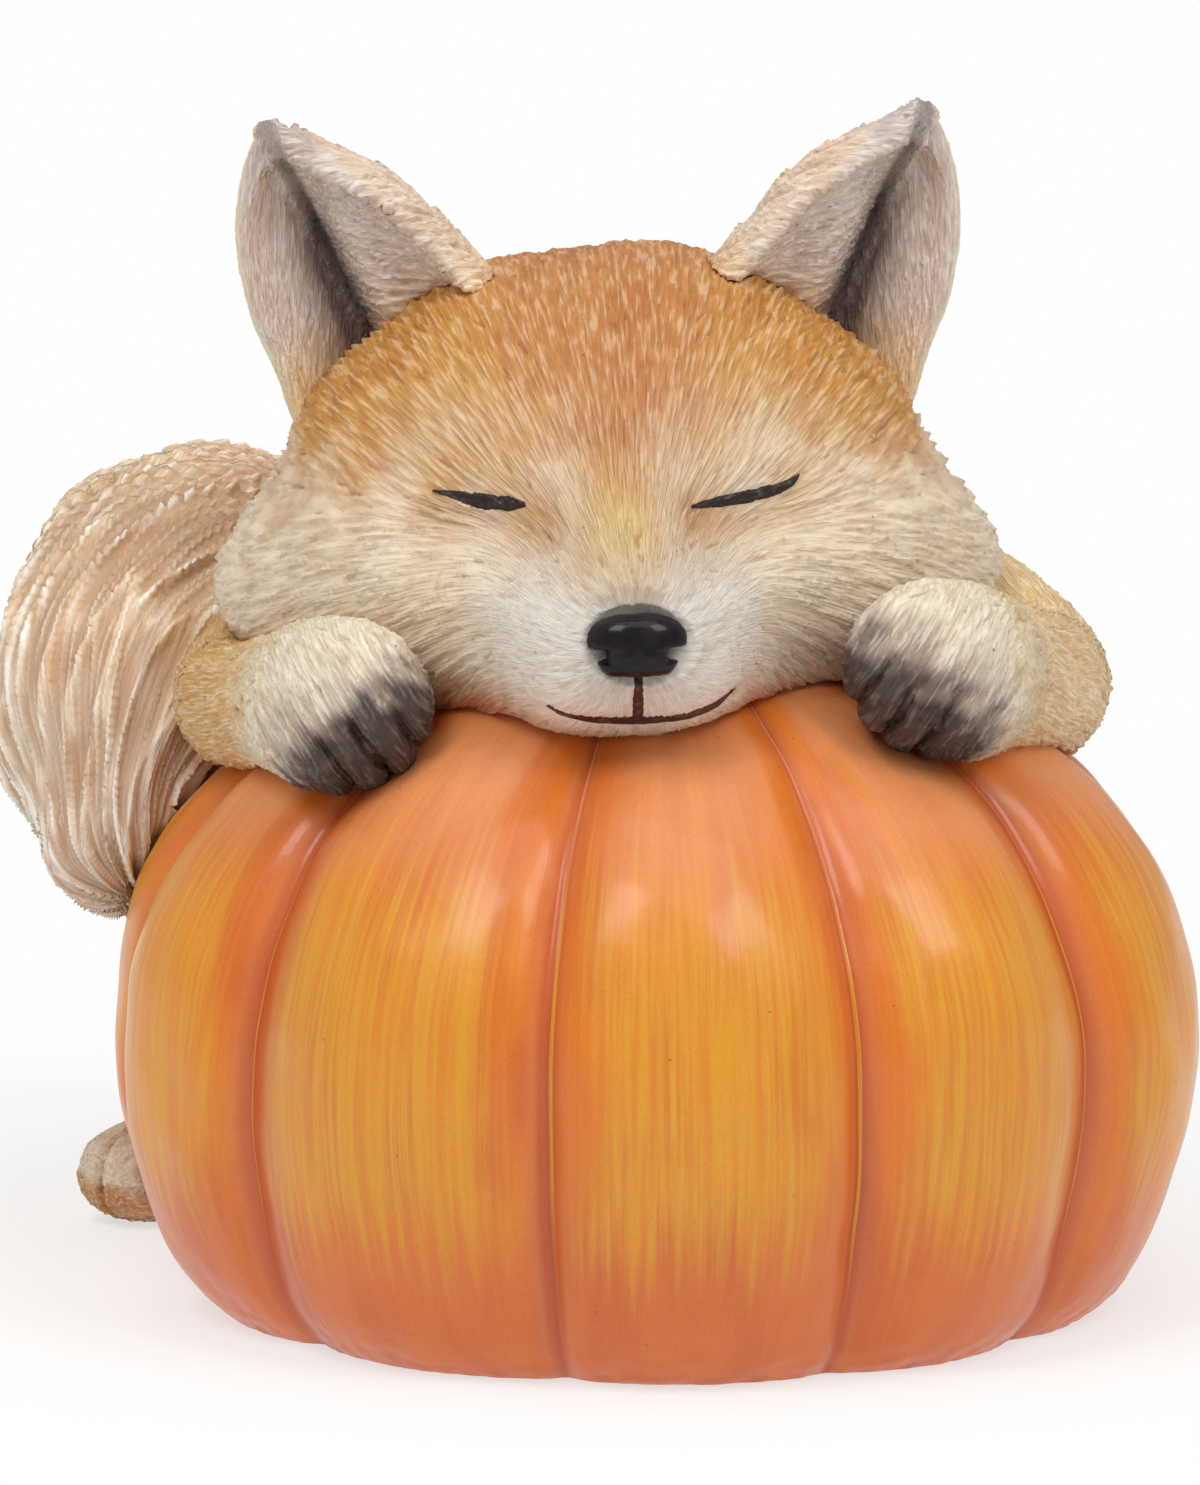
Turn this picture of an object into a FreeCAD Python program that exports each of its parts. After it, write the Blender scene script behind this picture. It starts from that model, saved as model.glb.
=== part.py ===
"""A cast resin figurine: a fox asleep with its chin and forelegs over a ribbed pumpkin.

Millimetres, +Z up. The origin is on the resting plane, on the pumpkin's upright axis, and the fox
looks along -Y. The pumpkin is a hollow casting that a plate and a felt disc close from below. The
fox is solid castings glued to it and to each other; round pegs locate the head, ears and tail.
"""

import FreeCAD
import Part
import math
import os

from FreeCAD import Placement, Rotation, Vector

# Pumpkin: a ring of ribs round an upright axis
PUMPKIN_RADIUS = 55.7
PUMPKIN_HEIGHT = 67.0
RIB_COUNT = 10
RIB_GROOVE_DEPTH = 3.6
RIB_TURN = 6.0
SHELL_WALL = 5.0

# Underside: the plate and the felt that close the pumpkin
RECESS_RADIUS = 37.0
PLATE_LEDGE_WIDTH = 3.0
PLATE_THICKNESS = 3.0
FELT_THICKNESS = 1.2
DISC_CLEARANCE = 0.3

# Fox: the plane down its middle, and how its castings are pegged
FOX_MIDDLE_X = -4.7
PEG_RADIUS = 2.5
PEG_DEPTH = 6.0
PEG_CLEARANCE = 0.15
EAR_PEG_RADIUS = 1.6
EAR_PEG_DEPTH = 4.5

# Head: a dome with wide cheeks and a short muzzle
HEAD_WIDTH = 77.0
HEAD_LENGTH = 73.0
HEAD_BACK_Y = 35.0
CROWN_HEIGHT = 31.3
JAW_DEPTH = 12.5
CHEEK_LIFT = 6.0
HEAD_ROLL = 1.5
HEAD_TURN = 2.5

# Ears: tapering leaves with a scooped front
EAR_LENGTH = 25.6
EAR_WIDTH = 26.6
EAR_THICKNESS = 15.0
EAR_ROOT_DEPTH = 10.0
EAR_SPREAD = 21.3
EAR_RISE = 22.0
EAR_SETBACK = 5.0
EAR_LEAN = 25.0
EAR_TURN = 14.0
EAR_RIM = 1.7
EAR_SCOOP_DEPTH = 10.0

# Nose pad
NOSE_WIDTH = 9.8
NOSE_HEIGHT = 6.9
NOSE_STANDOUT = 2.6
NOSE_SEAT_DEPTH = 1.6
NOSE_RISE = -1.1
NOSTRIL_RADIUS = 1.0

# Painted lines: closed eyes and mouth
LINE_DEPTH = 0.7
EYE_INNER_X = 8.1
EYE_OUTER_X = 17.3
EYE_INNER_RISE = 9.5
EYE_OUTER_RISE = 11.2
EYE_SAG = 1.3
EYE_LINE_WIDTH = 1.3
MOUTH_HALF_WIDTH = 9.6
MOUTH_DROP = 9.2
MOUTH_CORNER_LIFT = 1.9
MOUTH_LINE_WIDTH = 0.8
LIP_LINE_WIDTH = 0.8

# Torso: from the rump on the ground, up the pumpkin's back, to the neck
TORSO_WIDTH = 64.0
TORSO_THICKNESS = 39.0
TORSO_STANDOUT = 14.3
SHOULDER_RISE = 7.5

# Forelegs: shoulder, elbow and paw; each rise is from the pumpkin's top
FORELEG_MIDDLE_X = -2.0
ELBOW_INSET = 14.7
LEFT_FORELEG_THICKNESS = 13.5
RIGHT_FORELEG_THICKNESS = 15.5
FOREPAW_WIDTH = 16.4
FOREPAW_REACH_X = 28.0
FOREPAW_SETBACK = 22.7
SHOULDER_Y = 22.0
ELBOW_Y = 2.0
LEFT_FOREPAW_RISE = -3.6
RIGHT_FOREPAW_RISE = 0.2
LEFT_ELBOW_RISE = -7.5
RIGHT_ELBOW_RISE = -6.0

# Hind legs: haunch and foot
HAUNCH_LENGTH = 44.0
HAUNCH_HEIGHT = 50.0
HAUNCH_WIDTH = 31.0
HAUNCH_INSET = 3.0
HAUNCH_LAP = 9.7
HIND_FOOT_LENGTH = 36.0
HIND_FOOT_WIDTH = 15.0
HIND_FOOT_HEIGHT = 11.5
LEFT_FOOT_SPLAY = 47.0
RIGHT_FOOT_SPLAY = 68.0

# Tail: a brush that rises from the rump and hangs down beside the pumpkin
TAIL_THICKNESS = 37.0
TAIL_INSET = 4.7
TAIL_STANDOUT = 7.3
TAIL_DROP = 3.5
TAIL_HANG = 16.5
TAIL_TIP_Y = 14.0
TAIL_TUFT_COUNT = 11
TAIL_TUFT_DEPTH = 1.2

# Places that follow from the sizes above
TORSO_BACK_Y = PUMPKIN_RADIUS + TORSO_STANDOUT
SHOULDER_HEIGHT = PUMPKIN_HEIGHT + SHOULDER_RISE
ELBOW_REACH_X = PUMPKIN_RADIUS - ELBOW_INSET
FOREPAW_FRONT_Y = FOREPAW_SETBACK - PUMPKIN_RADIUS
HAUNCH_SPREAD = TORSO_WIDTH / 2 - HAUNCH_INSET
HAUNCH_Y = PUMPKIN_RADIUS - HAUNCH_LAP
TAIL_REACH_X = PUMPKIN_RADIUS - TAIL_INSET
TAIL_BACK_Y = PUMPKIN_RADIUS + TAIL_STANDOUT
TAIL_BEND_HEIGHT = PUMPKIN_HEIGHT - TAIL_DROP
TAIL_TIP_HEIGHT = TAIL_BEND_HEIGHT - TAIL_HANG

# One overrun for every cut that has to pass right through a surface
OVERRUN = 2.0

UP = Vector(0, 0, 1)
ACROSS = Vector(1, 0, 0)
FORWARD = Vector(0, -1, 0)


def largest_solid(shape):
    """The main body that a cut leaves."""
    return max(shape.Solids, key=lambda solid: solid.Volume)


def closed_curve(points):
    """A smooth closed wire through the points."""
    curve = Part.BSplineCurve()
    curve.interpolate(Points=points, PeriodicFlag=True)
    return Part.Wire(curve.toShape())


def oval_ring(middle, direction, side, half_width, half_thickness, tuft_count=6, groove_share=1):
    """An oval wire square to the direction, with its width along side.

    It has a point on each tuft's crest and one in each groove, which lies groove_share as far out.
    """
    along = Vector(direction).normalize()
    wide = (side - along * side.dot(along)).normalize()
    thick = along.cross(wide)
    points = []
    for index in range(2 * tuft_count):
        turn = math.pi * index / tuft_count
        offset = wide * (half_width * math.cos(turn)) + thick * (half_thickness * math.sin(turn))
        points.append(middle + offset * (groove_share if index % 2 else 1))
    return closed_curve(points)


def limb(stations, side, tuft_count=6, groove_share=1):
    """A rounded form along stations of (middle, half width, half thickness), with domed ends."""

    def ring(middle, direction, wide, thick):
        return oval_ring(middle, direction, side, wide, thick, tuft_count, groove_share)

    dome_shares = ((0.92, 0.38), (0.62, 0.78))
    middles = [station[0] for station in stations]
    directions = []
    for index in range(len(middles)):
        before = middles[max(index - 1, 0)]
        after = middles[min(index + 1, len(middles) - 1)]
        directions.append((after - before).normalize())
    rings = []
    middle, wide, thick = stations[0]
    reach = min(wide, thick)
    for out_share, size_share in dome_shares:
        centre = middle - directions[0] * (reach * out_share)
        rings.append(ring(centre, directions[0], wide * size_share, thick * size_share))
    for (middle, wide, thick), direction in zip(stations, directions):
        rings.append(ring(middle, direction, wide, thick))
    middle, wide, thick = stations[-1]
    reach = min(wide, thick)
    for out_share, size_share in reversed(dome_shares):
        centre = middle + directions[-1] * (reach * out_share)
        rings.append(ring(centre, directions[-1], wide * size_share, thick * size_share))
    return Part.makeLoft(rings, True)


def pegged(part, mate, foot, direction, radius=PEG_RADIUS, depth=PEG_DEPTH):
    """The part with a round peg through the joint at foot, and its mate with the socket for it."""
    along = Vector(direction).normalize()
    pin = Part.makeCylinder(radius, 2 * depth, foot - along * depth, along)
    end = depth + PEG_CLEARANCE
    socket = Part.makeCylinder(radius + PEG_CLEARANCE, end + depth, foot - along * depth, along)
    return largest_solid(part.fuse(pin)), largest_solid(mate.cut(socket))


# Pumpkin

# Height and crest radius of the ribs, as shares of the pumpkin's height and radius
RIB_PROFILE_SHARES = (
    (0.000, 0.800), (0.037, 0.862), (0.090, 0.903), (0.180, 0.948), (0.284, 0.986),
    (0.403, 1.000), (0.522, 0.986), (0.627, 0.945), (0.716, 0.880), (0.784, 0.805),
    (0.851, 0.690), (0.910, 0.556), (0.958, 0.404), (0.988, 0.270), (1.000, 0.160),
)


def rib_crest_radius(height):
    """The radius of the rib crests at a height."""
    share = height / PUMPKIN_HEIGHT
    for (low, low_radius), (high, high_radius) in zip(RIB_PROFILE_SHARES, RIB_PROFILE_SHARES[1:]):
        if share <= high:
            between = (share - low) / (high - low)
            return PUMPKIN_RADIUS * (low_radius + (high_radius - low_radius) * between)
    return PUMPKIN_RADIUS * RIB_PROFILE_SHARES[-1][1]


def rib_ring(height, crest, groove_depth):
    """One level of the pumpkin: an arc for each rib, from groove to groove."""
    pitch = 2 * math.pi / RIB_COUNT
    first = math.radians(RIB_TURN) - pitch / 2

    def at(turn, radius):
        return Vector(radius * math.sin(turn), -radius * math.cos(turn), height)

    arcs = []
    for index in range(RIB_COUNT):
        start = first + index * pitch
        arc = Part.Arc(
            at(start, crest - groove_depth),
            at(start + pitch / 2, crest),
            at(start + pitch, crest - groove_depth),
        )
        arcs.append(arc.toShape())
    return Part.Wire(arcs)


def pumpkin_form():
    """The ribbed outside as one solid, from the resting plane to the dimple at the top."""
    rings = []
    for height_share, radius_share in RIB_PROFILE_SHARES:
        crest = PUMPKIN_RADIUS * radius_share
        rings.append(rib_ring(PUMPKIN_HEIGHT * height_share, crest, RIB_GROOVE_DEPTH * radius_share))
    return Part.makeLoft(rings, True)


def cavity_form():
    """The hollow inside the pumpkin, one wall thickness in from the grooves."""
    inset = RIB_GROOVE_DEPTH + SHELL_WALL
    floor = FELT_THICKNESS + PLATE_THICKNESS
    roof = PUMPKIN_HEIGHT - 2 * SHELL_WALL
    level_shares = (0.18, 0.4, 0.62, 0.8, 0.93)
    mouth = Vector(RECESS_RADIUS - PLATE_LEDGE_WIDTH, 0, floor)
    points = [mouth]
    for share in level_shares:
        height = floor + (roof - floor) * share
        points.append(Vector(rib_crest_radius(height) - inset, 0, height))
    side = Part.BSplineCurve()
    side.interpolate(points)
    top = points[-1]
    apex = Vector(0, 0, roof)
    axis_foot = Vector(0, 0, floor)
    edges = [
        side.toShape(),
        Part.makeLine(top, apex),
        Part.makeLine(apex, axis_foot),
        Part.makeLine(axis_foot, mouth),
    ]
    return Part.makeSolid(Part.Face(Part.Wire(edges)).revolve(Vector(), UP, 360))


def pumpkin_parts(form):
    """The hollow casting, the plate that closes it and the felt under the plate."""
    recess_height = FELT_THICKNESS + PLATE_THICKNESS
    recess = Part.makeCylinder(RECESS_RADIUS, recess_height + OVERRUN, Vector(0, 0, -OVERRUN))
    shell = largest_solid(form.cut(cavity_form()).cut(recess))
    disc_radius = RECESS_RADIUS - DISC_CLEARANCE
    plate = Part.makeCylinder(disc_radius, PLATE_THICKNESS, Vector(0, 0, FELT_THICKNESS))
    felt = Part.makeCylinder(disc_radius, FELT_THICKNESS)
    return shell, plate, felt


# Head

def head_middle():
    """The point of the fox's middle plane that the head's own sizes are measured from."""
    front_share = 0.55
    middle_y = HEAD_BACK_Y - HEAD_LENGTH * (1 - front_share)
    return Vector(FOX_MIDDLE_X, middle_y, PUMPKIN_HEIGHT + CHEEK_LIFT)


def head_placement():
    """Puts a form from the head's own frame on the pumpkin, rolled and turned a little."""
    roll = Rotation(FORWARD, HEAD_ROLL)
    return Placement(head_middle(), roll.multiply(Rotation(UP, HEAD_TURN)))


def head_ring(along, half_width, top, bottom, relief_share):
    """One cross-section of the head; relief presses the eye sockets in and raises the brows."""
    # width, height up (or down below zero), how much of the relief the point takes
    outline_shares = (
        (0.34, 0.945, 0), (0.62, 0.70, 1), (0.84, 0.40, 1), (0.96, 0.15, 0),
        (1.00, -0.12, 0), (0.94, -0.55, 0), (0.72, -0.88, 0), (0.36, -1.00, 0),
    )
    right = []
    for wide_share, high_share, taken_share in outline_shares:
        size = 1 + relief_share * taken_share
        high = (top if high_share > 0 else bottom) * high_share
        right.append(Vector(half_width * wide_share * size, along, high * size))
    left = [Vector(-point.x, point.y, point.z) for point in reversed(right)]
    crown = [Vector(0, along, top)]
    chin = [Vector(0, along, -bottom)]
    return closed_curve(crown + right + chin + left)


def head_form():
    """The head in its own frame: y is along it, z above the cheeks' widest level."""
    # along, half width, top, bottom, relief
    station_shares = (
        (0.000, 0.155, 0.10, 0.42, 0), (0.030, 0.235, 0.17, 0.66, 0), (0.110, 0.325, 0.25, 0.92, 0),
        (0.210, 0.440, 0.38, 1.00, -0.07), (0.310, 0.650, 0.60, 1.00, -0.05),
        (0.420, 0.880, 0.82, 1.00, 0.025), (0.560, 1.000, 0.97, 1.00, 0.015),
        (0.700, 0.970, 1.00, 1.00, 0), (0.830, 0.820, 0.92, 0.96, 0),
        (0.930, 0.570, 0.74, 0.80, 0), (0.990, 0.270, 0.44, 0.45, 0),
    )
    front = HEAD_BACK_Y - HEAD_LENGTH - head_middle().y
    rings = []
    for along_share, wide_share, top_share, bottom_share, relief_share in station_shares:
        along = front + HEAD_LENGTH * along_share
        half_width = HEAD_WIDTH / 2 * wide_share
        top = CROWN_HEIGHT * top_share
        rings.append(head_ring(along, half_width, top, JAW_DEPTH * bottom_share, relief_share))
    return Part.makeLoft(rings, True)


def muzzle_front():
    """How far forward the muzzle reaches, in the head's own frame."""
    return HEAD_BACK_Y - HEAD_LENGTH - head_middle().y


def nose_form():
    """The nose pad: a rounded block with a nostril notch in each side."""
    depth_shares = ((0, 0.80), (0.25, 0.96), (0.60, 1.0), (0.85, 0.90), (1.0, 0.62))
    outline_shares = (
        (0, 1.0), (0.62, 0.95), (1.0, 0.50), (0.93, -0.05), (0.66, -0.72), (0.20, -1.0),
    )
    depth = NOSE_STANDOUT + NOSE_SEAT_DEPTH
    rings = []
    for depth_share, size_share in depth_shares:
        along = muzzle_front() + NOSE_SEAT_DEPTH - depth * depth_share
        half_width = NOSE_WIDTH / 2 * size_share
        half_height = NOSE_HEIGHT / 2 * size_share
        right = [
            Vector(half_width * wide, along, NOSE_RISE + half_height * high)
            for wide, high in outline_shares
        ]
        left = [Vector(-point.x, point.y, point.z) for point in reversed(right[1:])]
        rings.append(closed_curve(right + left))
    form = Part.makeLoft(rings, True)
    notch_rise = NOSE_RISE - NOSE_HEIGHT * 0.08
    for sign in (-1, 1):
        foot = Vector(sign * NOSE_WIDTH * 0.44, muzzle_front() - NOSE_STANDOUT - OVERRUN, notch_rise)
        form = form.cut(Part.makeCylinder(NOSTRIL_RADIUS, depth + 2 * OVERRUN, foot, Vector(0, 1, 0)))
    return largest_solid(form)


def line_prism(start, middle, end, width):
    """A stroke with pointed ends through three points, drawn through the whole face."""
    half = Vector(0, 0, width / 2)
    upper = Part.Arc(start, middle + half, end).toShape()
    lower = Part.Arc(end, middle - half, start).toShape()
    face = Part.Face(Part.Wire([upper, lower]))
    return face.extrude(Vector(0, HEAD_LENGTH / 2, 0))


def inlay(prism, form):
    """The skin of paint that a prism cuts from the front of a form."""
    behind = form.copy()
    behind.translate(Vector(0, LINE_DEPTH, 0))
    return form.common(prism).cut(behind)


def eye_line(form, sign):
    """The lash line of one closed eye."""
    front = muzzle_front()
    start = Vector(sign * EYE_INNER_X, front, EYE_INNER_RISE)
    end = Vector(sign * EYE_OUTER_X, front, EYE_OUTER_RISE)
    middle = (start + end) / 2 - UP * EYE_SAG
    return largest_solid(inlay(line_prism(start, middle, end, EYE_LINE_WIDTH), form))


def mouth_line(form):
    """The smile, and the line from it up to the nose."""
    front = muzzle_front() - NOSE_STANDOUT
    middle = Vector(0, front, -MOUTH_DROP)
    start = Vector(-MOUTH_HALF_WIDTH, front, MOUTH_CORNER_LIFT - MOUTH_DROP)
    end = Vector(MOUTH_HALF_WIDTH, front, MOUTH_CORNER_LIFT - MOUTH_DROP)
    smile = line_prism(start, middle, end, MOUTH_LINE_WIDTH)
    corner = Vector(-LIP_LINE_WIDTH / 2, front, -MOUTH_DROP)
    lip_height = MOUTH_DROP + NOSE_RISE
    lip = Part.makeBox(LIP_LINE_WIDTH, HEAD_LENGTH / 2, lip_height, corner)
    return largest_solid(inlay(smile.fuse(lip), form))


def ear_leaf(sign, half_width, half_thickness, forward, root, length):
    """An ear-shaped taper standing on z=0, reaching down to its root and up to its tip.

    Forward is how far its root stands in front of the ear's middle; the taper brings it back.
    """
    # along, width, thickness, outward lean of the edge
    taper_shares = (
        (0.00, 0.99, 1.00, -0.01), (0.16, 0.93, 0.92, -0.02), (0.40, 0.76, 0.76, 0.02),
        (0.58, 0.65, 0.62, 0.045), (0.80, 0.42, 0.42, 0.08), (0.93, 0.22, 0.28, 0.09),
        (1.00, 0.07, 0.14, 0.06),
    )
    foot = Vector(0, -forward, -root)
    rings = [oval_ring(foot, UP, ACROSS, half_width, half_thickness)]
    for along_share, wide_share, thick_share, lean_share in taper_shares:
        middle = Vector(
            sign * EAR_WIDTH / 2 * lean_share, -forward * thick_share, length * along_share
        )
        rings.append(
            oval_ring(middle, UP, ACROSS, half_width * wide_share, half_thickness * thick_share)
        )
    return Part.makeLoft(rings, True)


def ear_form(sign):
    """One ear in the head's frame: a leaf with a smaller leaf scooped out of its front."""
    half = EAR_WIDTH / 2
    thick = EAR_THICKNESS / 2
    leaf = ear_leaf(sign, half, thick, 0, EAR_ROOT_DEPTH, EAR_LENGTH)
    scoop_length = EAR_LENGTH - 2 * EAR_RIM
    scoop = ear_leaf(sign, half - EAR_RIM, EAR_SCOOP_DEPTH, thick, EAR_RIM, scoop_length)
    form = largest_solid(leaf.cut(scoop))
    foot = Vector(sign * EAR_SPREAD, EAR_SETBACK, EAR_RISE)
    lean = Rotation(Vector(0, 1, 0), sign * EAR_LEAN)
    turn = Rotation(UP, sign * EAR_TURN)
    form.Placement = Placement(foot, lean.multiply(turn))
    return form


def ear_peg(sign):
    """Where an ear's peg crosses the head's surface, and its direction."""
    lean = Rotation(Vector(0, 1, 0), sign * EAR_LEAN)
    foot = Vector(sign * EAR_SPREAD, EAR_SETBACK + EAR_THICKNESS * 0.24, EAR_RISE)
    return foot, lean.multVec(UP)


# Fox behind and beside the pumpkin

def fox_point(x, y, z):
    """A point given from the fox's middle plane."""
    return Vector(FOX_MIDDLE_X + x, y, z)


def torso_form():
    """Rump, back and shoulders as one rounded form up and over the pumpkin."""
    station_shares = (
        # along y from the back, height, half width, half thickness
        (0.250, 0.145, 0.80, 0.86), (0.245, 0.312, 0.97, 0.95), (0.265, 0.478, 1.00, 1.00),
        (0.330, 0.652, 0.97, 1.00), (0.455, 0.812, 0.92, 0.98), (0.600, 0.928, 0.88, 0.90),
        (0.760, 1.000, 0.80, 0.78),
    )
    stations = []
    for back_share, high_share, wide_share, thick_share in station_shares:
        middle = fox_point(0, TORSO_BACK_Y * (1 - back_share), SHOULDER_HEIGHT * high_share)
        stations.append((middle, TORSO_WIDTH / 2 * wide_share, TORSO_THICKNESS / 2 * thick_share))
    return limb(stations, ACROSS)


def foreleg_form(sign, thickness, elbow_rise, paw_rise):
    """Shoulder, elbow, forearm and paw of one side."""
    elbow_height = PUMPKIN_HEIGHT + elbow_rise
    paw_height = PUMPKIN_HEIGHT + paw_rise
    half = thickness / 2
    paw = FOREPAW_WIDTH / 2

    def at(reach, y, z):
        return Vector(FORELEG_MIDDLE_X + sign * reach, y, z)

    bend = ELBOW_REACH_X - FOREPAW_REACH_X
    paw_y = FOREPAW_FRONT_Y + paw
    shoulder = at(ELBOW_REACH_X - bend * 0.9, SHOULDER_Y, elbow_height + half * 0.5)
    elbow = at(ELBOW_REACH_X - bend * 0.1, ELBOW_Y, elbow_height)
    forearm_height = (elbow_height + paw_height) / 2
    forearm = at(FOREPAW_REACH_X + bend * 0.55, (ELBOW_Y + paw_y) / 2, forearm_height)
    stations = [
        (shoulder, half * 1.25, half * 1.1),
        (elbow, half, half),
        (forearm, half, half * 0.95),
        (at(FOREPAW_REACH_X, paw_y, paw_height), paw, paw * 0.95),
    ]
    return limb(stations, UP)


def hind_leg_form(sign, splay_angle):
    """Haunch and foot of one side; the splay angle turns the foot's toes from sideways to forward."""
    haunch = Part.makeSphere(1)
    stretch = FreeCAD.Matrix()
    stretch.scale(HAUNCH_WIDTH / 2, HAUNCH_LENGTH / 2, HAUNCH_HEIGHT / 2)
    haunch = haunch.transformGeometry(stretch)
    haunch.translate(fox_point(sign * HAUNCH_SPREAD, HAUNCH_Y, HAUNCH_HEIGHT / 2))
    splay = math.radians(splay_angle)
    along = Vector(sign * math.cos(splay), -math.sin(splay), 0)
    heel = fox_point(sign * HAUNCH_SPREAD, HAUNCH_Y + HAUNCH_LENGTH * 0.2, HIND_FOOT_HEIGHT * 0.45)
    half_width = HIND_FOOT_WIDTH / 2
    half_height = HIND_FOOT_HEIGHT / 2
    shares = ((0.10, 0.85, 1.0), (0.40, 0.90, 1.05), (0.65, 1.0, 1.0), (0.85, 0.85, 0.85))
    stations = [
        (heel + along * (HIND_FOOT_LENGTH * reach), half_height * high, half_width * wide)
        for reach, wide, high in shares
    ]
    return haunch, limb(stations, UP)


def tail_form():
    """The brush: up from the rump, over, and down beside the pumpkin to a blunt tip."""
    half = TAIL_THICKNESS / 2
    reach = TAIL_REACH_X
    deep = TAIL_BACK_Y - TAIL_TIP_Y
    high = TAIL_BEND_HEIGHT

    def at(reach_share, deep_share, z):
        return Vector(-reach * reach_share, TAIL_TIP_Y + deep * deep_share, z)

    stations = [
        (at(0.20, 1.00, high * 0.42), half * 0.42, half * 0.42),
        (at(0.48, 1.02, high * 0.68), half * 0.62, half * 0.60),
        (at(0.76, 0.80, high * 0.96), half * 0.86, half * 0.80),
        (at(0.94, 0.50, high), half * 1.00, half * 0.92),
        (at(1.02, 0.26, TAIL_TIP_HEIGHT + TAIL_HANG * 0.62), half * 0.98, half * 0.88),
        (at(1.05, 0.10, TAIL_TIP_HEIGHT + TAIL_HANG * 0.24), half * 0.86, half * 0.76),
        (at(1.06, 0.00, TAIL_TIP_HEIGHT - TAIL_HANG * 0.08), half * 0.58, half * 0.50),
    ]
    return limb(stations, Vector(0, 1, 0), TAIL_TUFT_COUNT, 1 - TAIL_TUFT_DEPTH / half)


def neck_peg():
    """Where the peg from the head enters the torso, and its direction."""
    return fox_point(0, HEAD_BACK_Y - PEG_RADIUS, PUMPKIN_HEIGHT + CHEEK_LIFT), Vector(0, -1, 0.3)


def tail_peg():
    """Where the peg from the tail enters the torso, and its direction."""
    foot = Vector(-TAIL_REACH_X * 0.46, TAIL_BACK_Y, TAIL_BEND_HEIGHT * 0.64)
    return foot, Vector(-1, 0, 1)


def cut_by(form, *others):
    """The form without what its neighbours fill."""
    for other in others:
        form = form.cut(other)
    return largest_solid(form)


def above_ground(form):
    """The form without what would lie under the resting plane."""
    box = form.BoundBox
    slab = Part.makeBox(
        box.XLength + 2 * OVERRUN,
        box.YLength + 2 * OVERRUN,
        box.ZLength + OVERRUN,
        Vector(box.XMin - OVERRUN, box.YMin - OVERRUN, -box.ZLength - OVERRUN),
    )
    return largest_solid(form.cut(slab))


def build():
    """Every node of the figurine, by name."""
    pumpkin = pumpkin_form()
    shell, plate, felt = pumpkin_parts(pumpkin)

    place = head_placement()
    face = head_form()
    nose = nose_form()
    lines = {"eye_lines": [eye_line(face, sign) for sign in (-1, 1)], "mouth_line": [mouth_line(face)]}
    lines["mouth_line"] = [cut_by(line, nose) for line in lines["mouth_line"]]
    ears = {"left_ear": ear_form(-1), "right_ear": ear_form(1)}
    head = cut_by(face, nose, *lines["eye_lines"], *lines["mouth_line"])
    for name, sign in (("left_ear", -1), ("right_ear", 1)):
        foot, axis = ear_peg(sign)
        ear = cut_by(ears[name], face)
        ears[name], head = pegged(ear, head, foot, axis, EAR_PEG_RADIUS, EAR_PEG_DEPTH)

    for piece in [head, nose, face, *ears.values(), *lines["eye_lines"], *lines["mouth_line"]]:
        piece.Placement = place.multiply(piece.Placement)

    head = cut_by(head, pumpkin)
    forelegs = {
        "left_foreleg": foreleg_form(
            -1, LEFT_FORELEG_THICKNESS, LEFT_ELBOW_RISE, LEFT_FOREPAW_RISE
        ),
        "right_foreleg": foreleg_form(
            1, RIGHT_FORELEG_THICKNESS, RIGHT_ELBOW_RISE, RIGHT_FOREPAW_RISE
        ),
    }
    forelegs = {name: cut_by(leg, pumpkin, face) for name, leg in forelegs.items()}
    torso = cut_by(above_ground(torso_form()), pumpkin, face, *forelegs.values())
    hind_legs = {}
    for name, sign, splay in (
        ("left_hind_leg", -1, LEFT_FOOT_SPLAY),
        ("right_hind_leg", 1, RIGHT_FOOT_SPLAY),
    ):
        haunch, foot = hind_leg_form(sign, splay)
        leg = above_ground(largest_solid(haunch.fuse(foot)))
        hind_legs[name] = cut_by(leg, pumpkin, torso)
    tail = cut_by(tail_form(), pumpkin, torso, face, *forelegs.values(), *hind_legs.values())
    head, torso = pegged(head, torso, *neck_peg())
    tail, torso = pegged(tail, torso, *tail_peg())

    return {
        "pumpkin_shell": shell,
        "base_plate": plate,
        "base_felt": felt,
        "head": head,
        "nose": nose,
        "eye_lines": Part.makeCompound(lines["eye_lines"]),
        "mouth_line": Part.makeCompound(lines["mouth_line"]),
        "torso": torso,
        "tail": tail,
        **ears,
        **forelegs,
        **hind_legs,
    }


os.makedirs("parts", exist_ok=True)
for node, shape in build().items():
    shape.exportStep(os.path.join("parts", node + ".step"))
    print(node, len(shape.Solids), shape.isValid(), round(shape.Volume))
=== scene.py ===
"""The looks of the sleeping fox figurine: carved fur, painted resin, studio light and camera.

Shapes are worked out in millimetres in the part's own frame and written to Blender in metres.
"""

import math

import bmesh
import bpy
import numpy as np
from mathutils import Matrix, Vector
from mathutils.bvhtree import BVHTree


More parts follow.
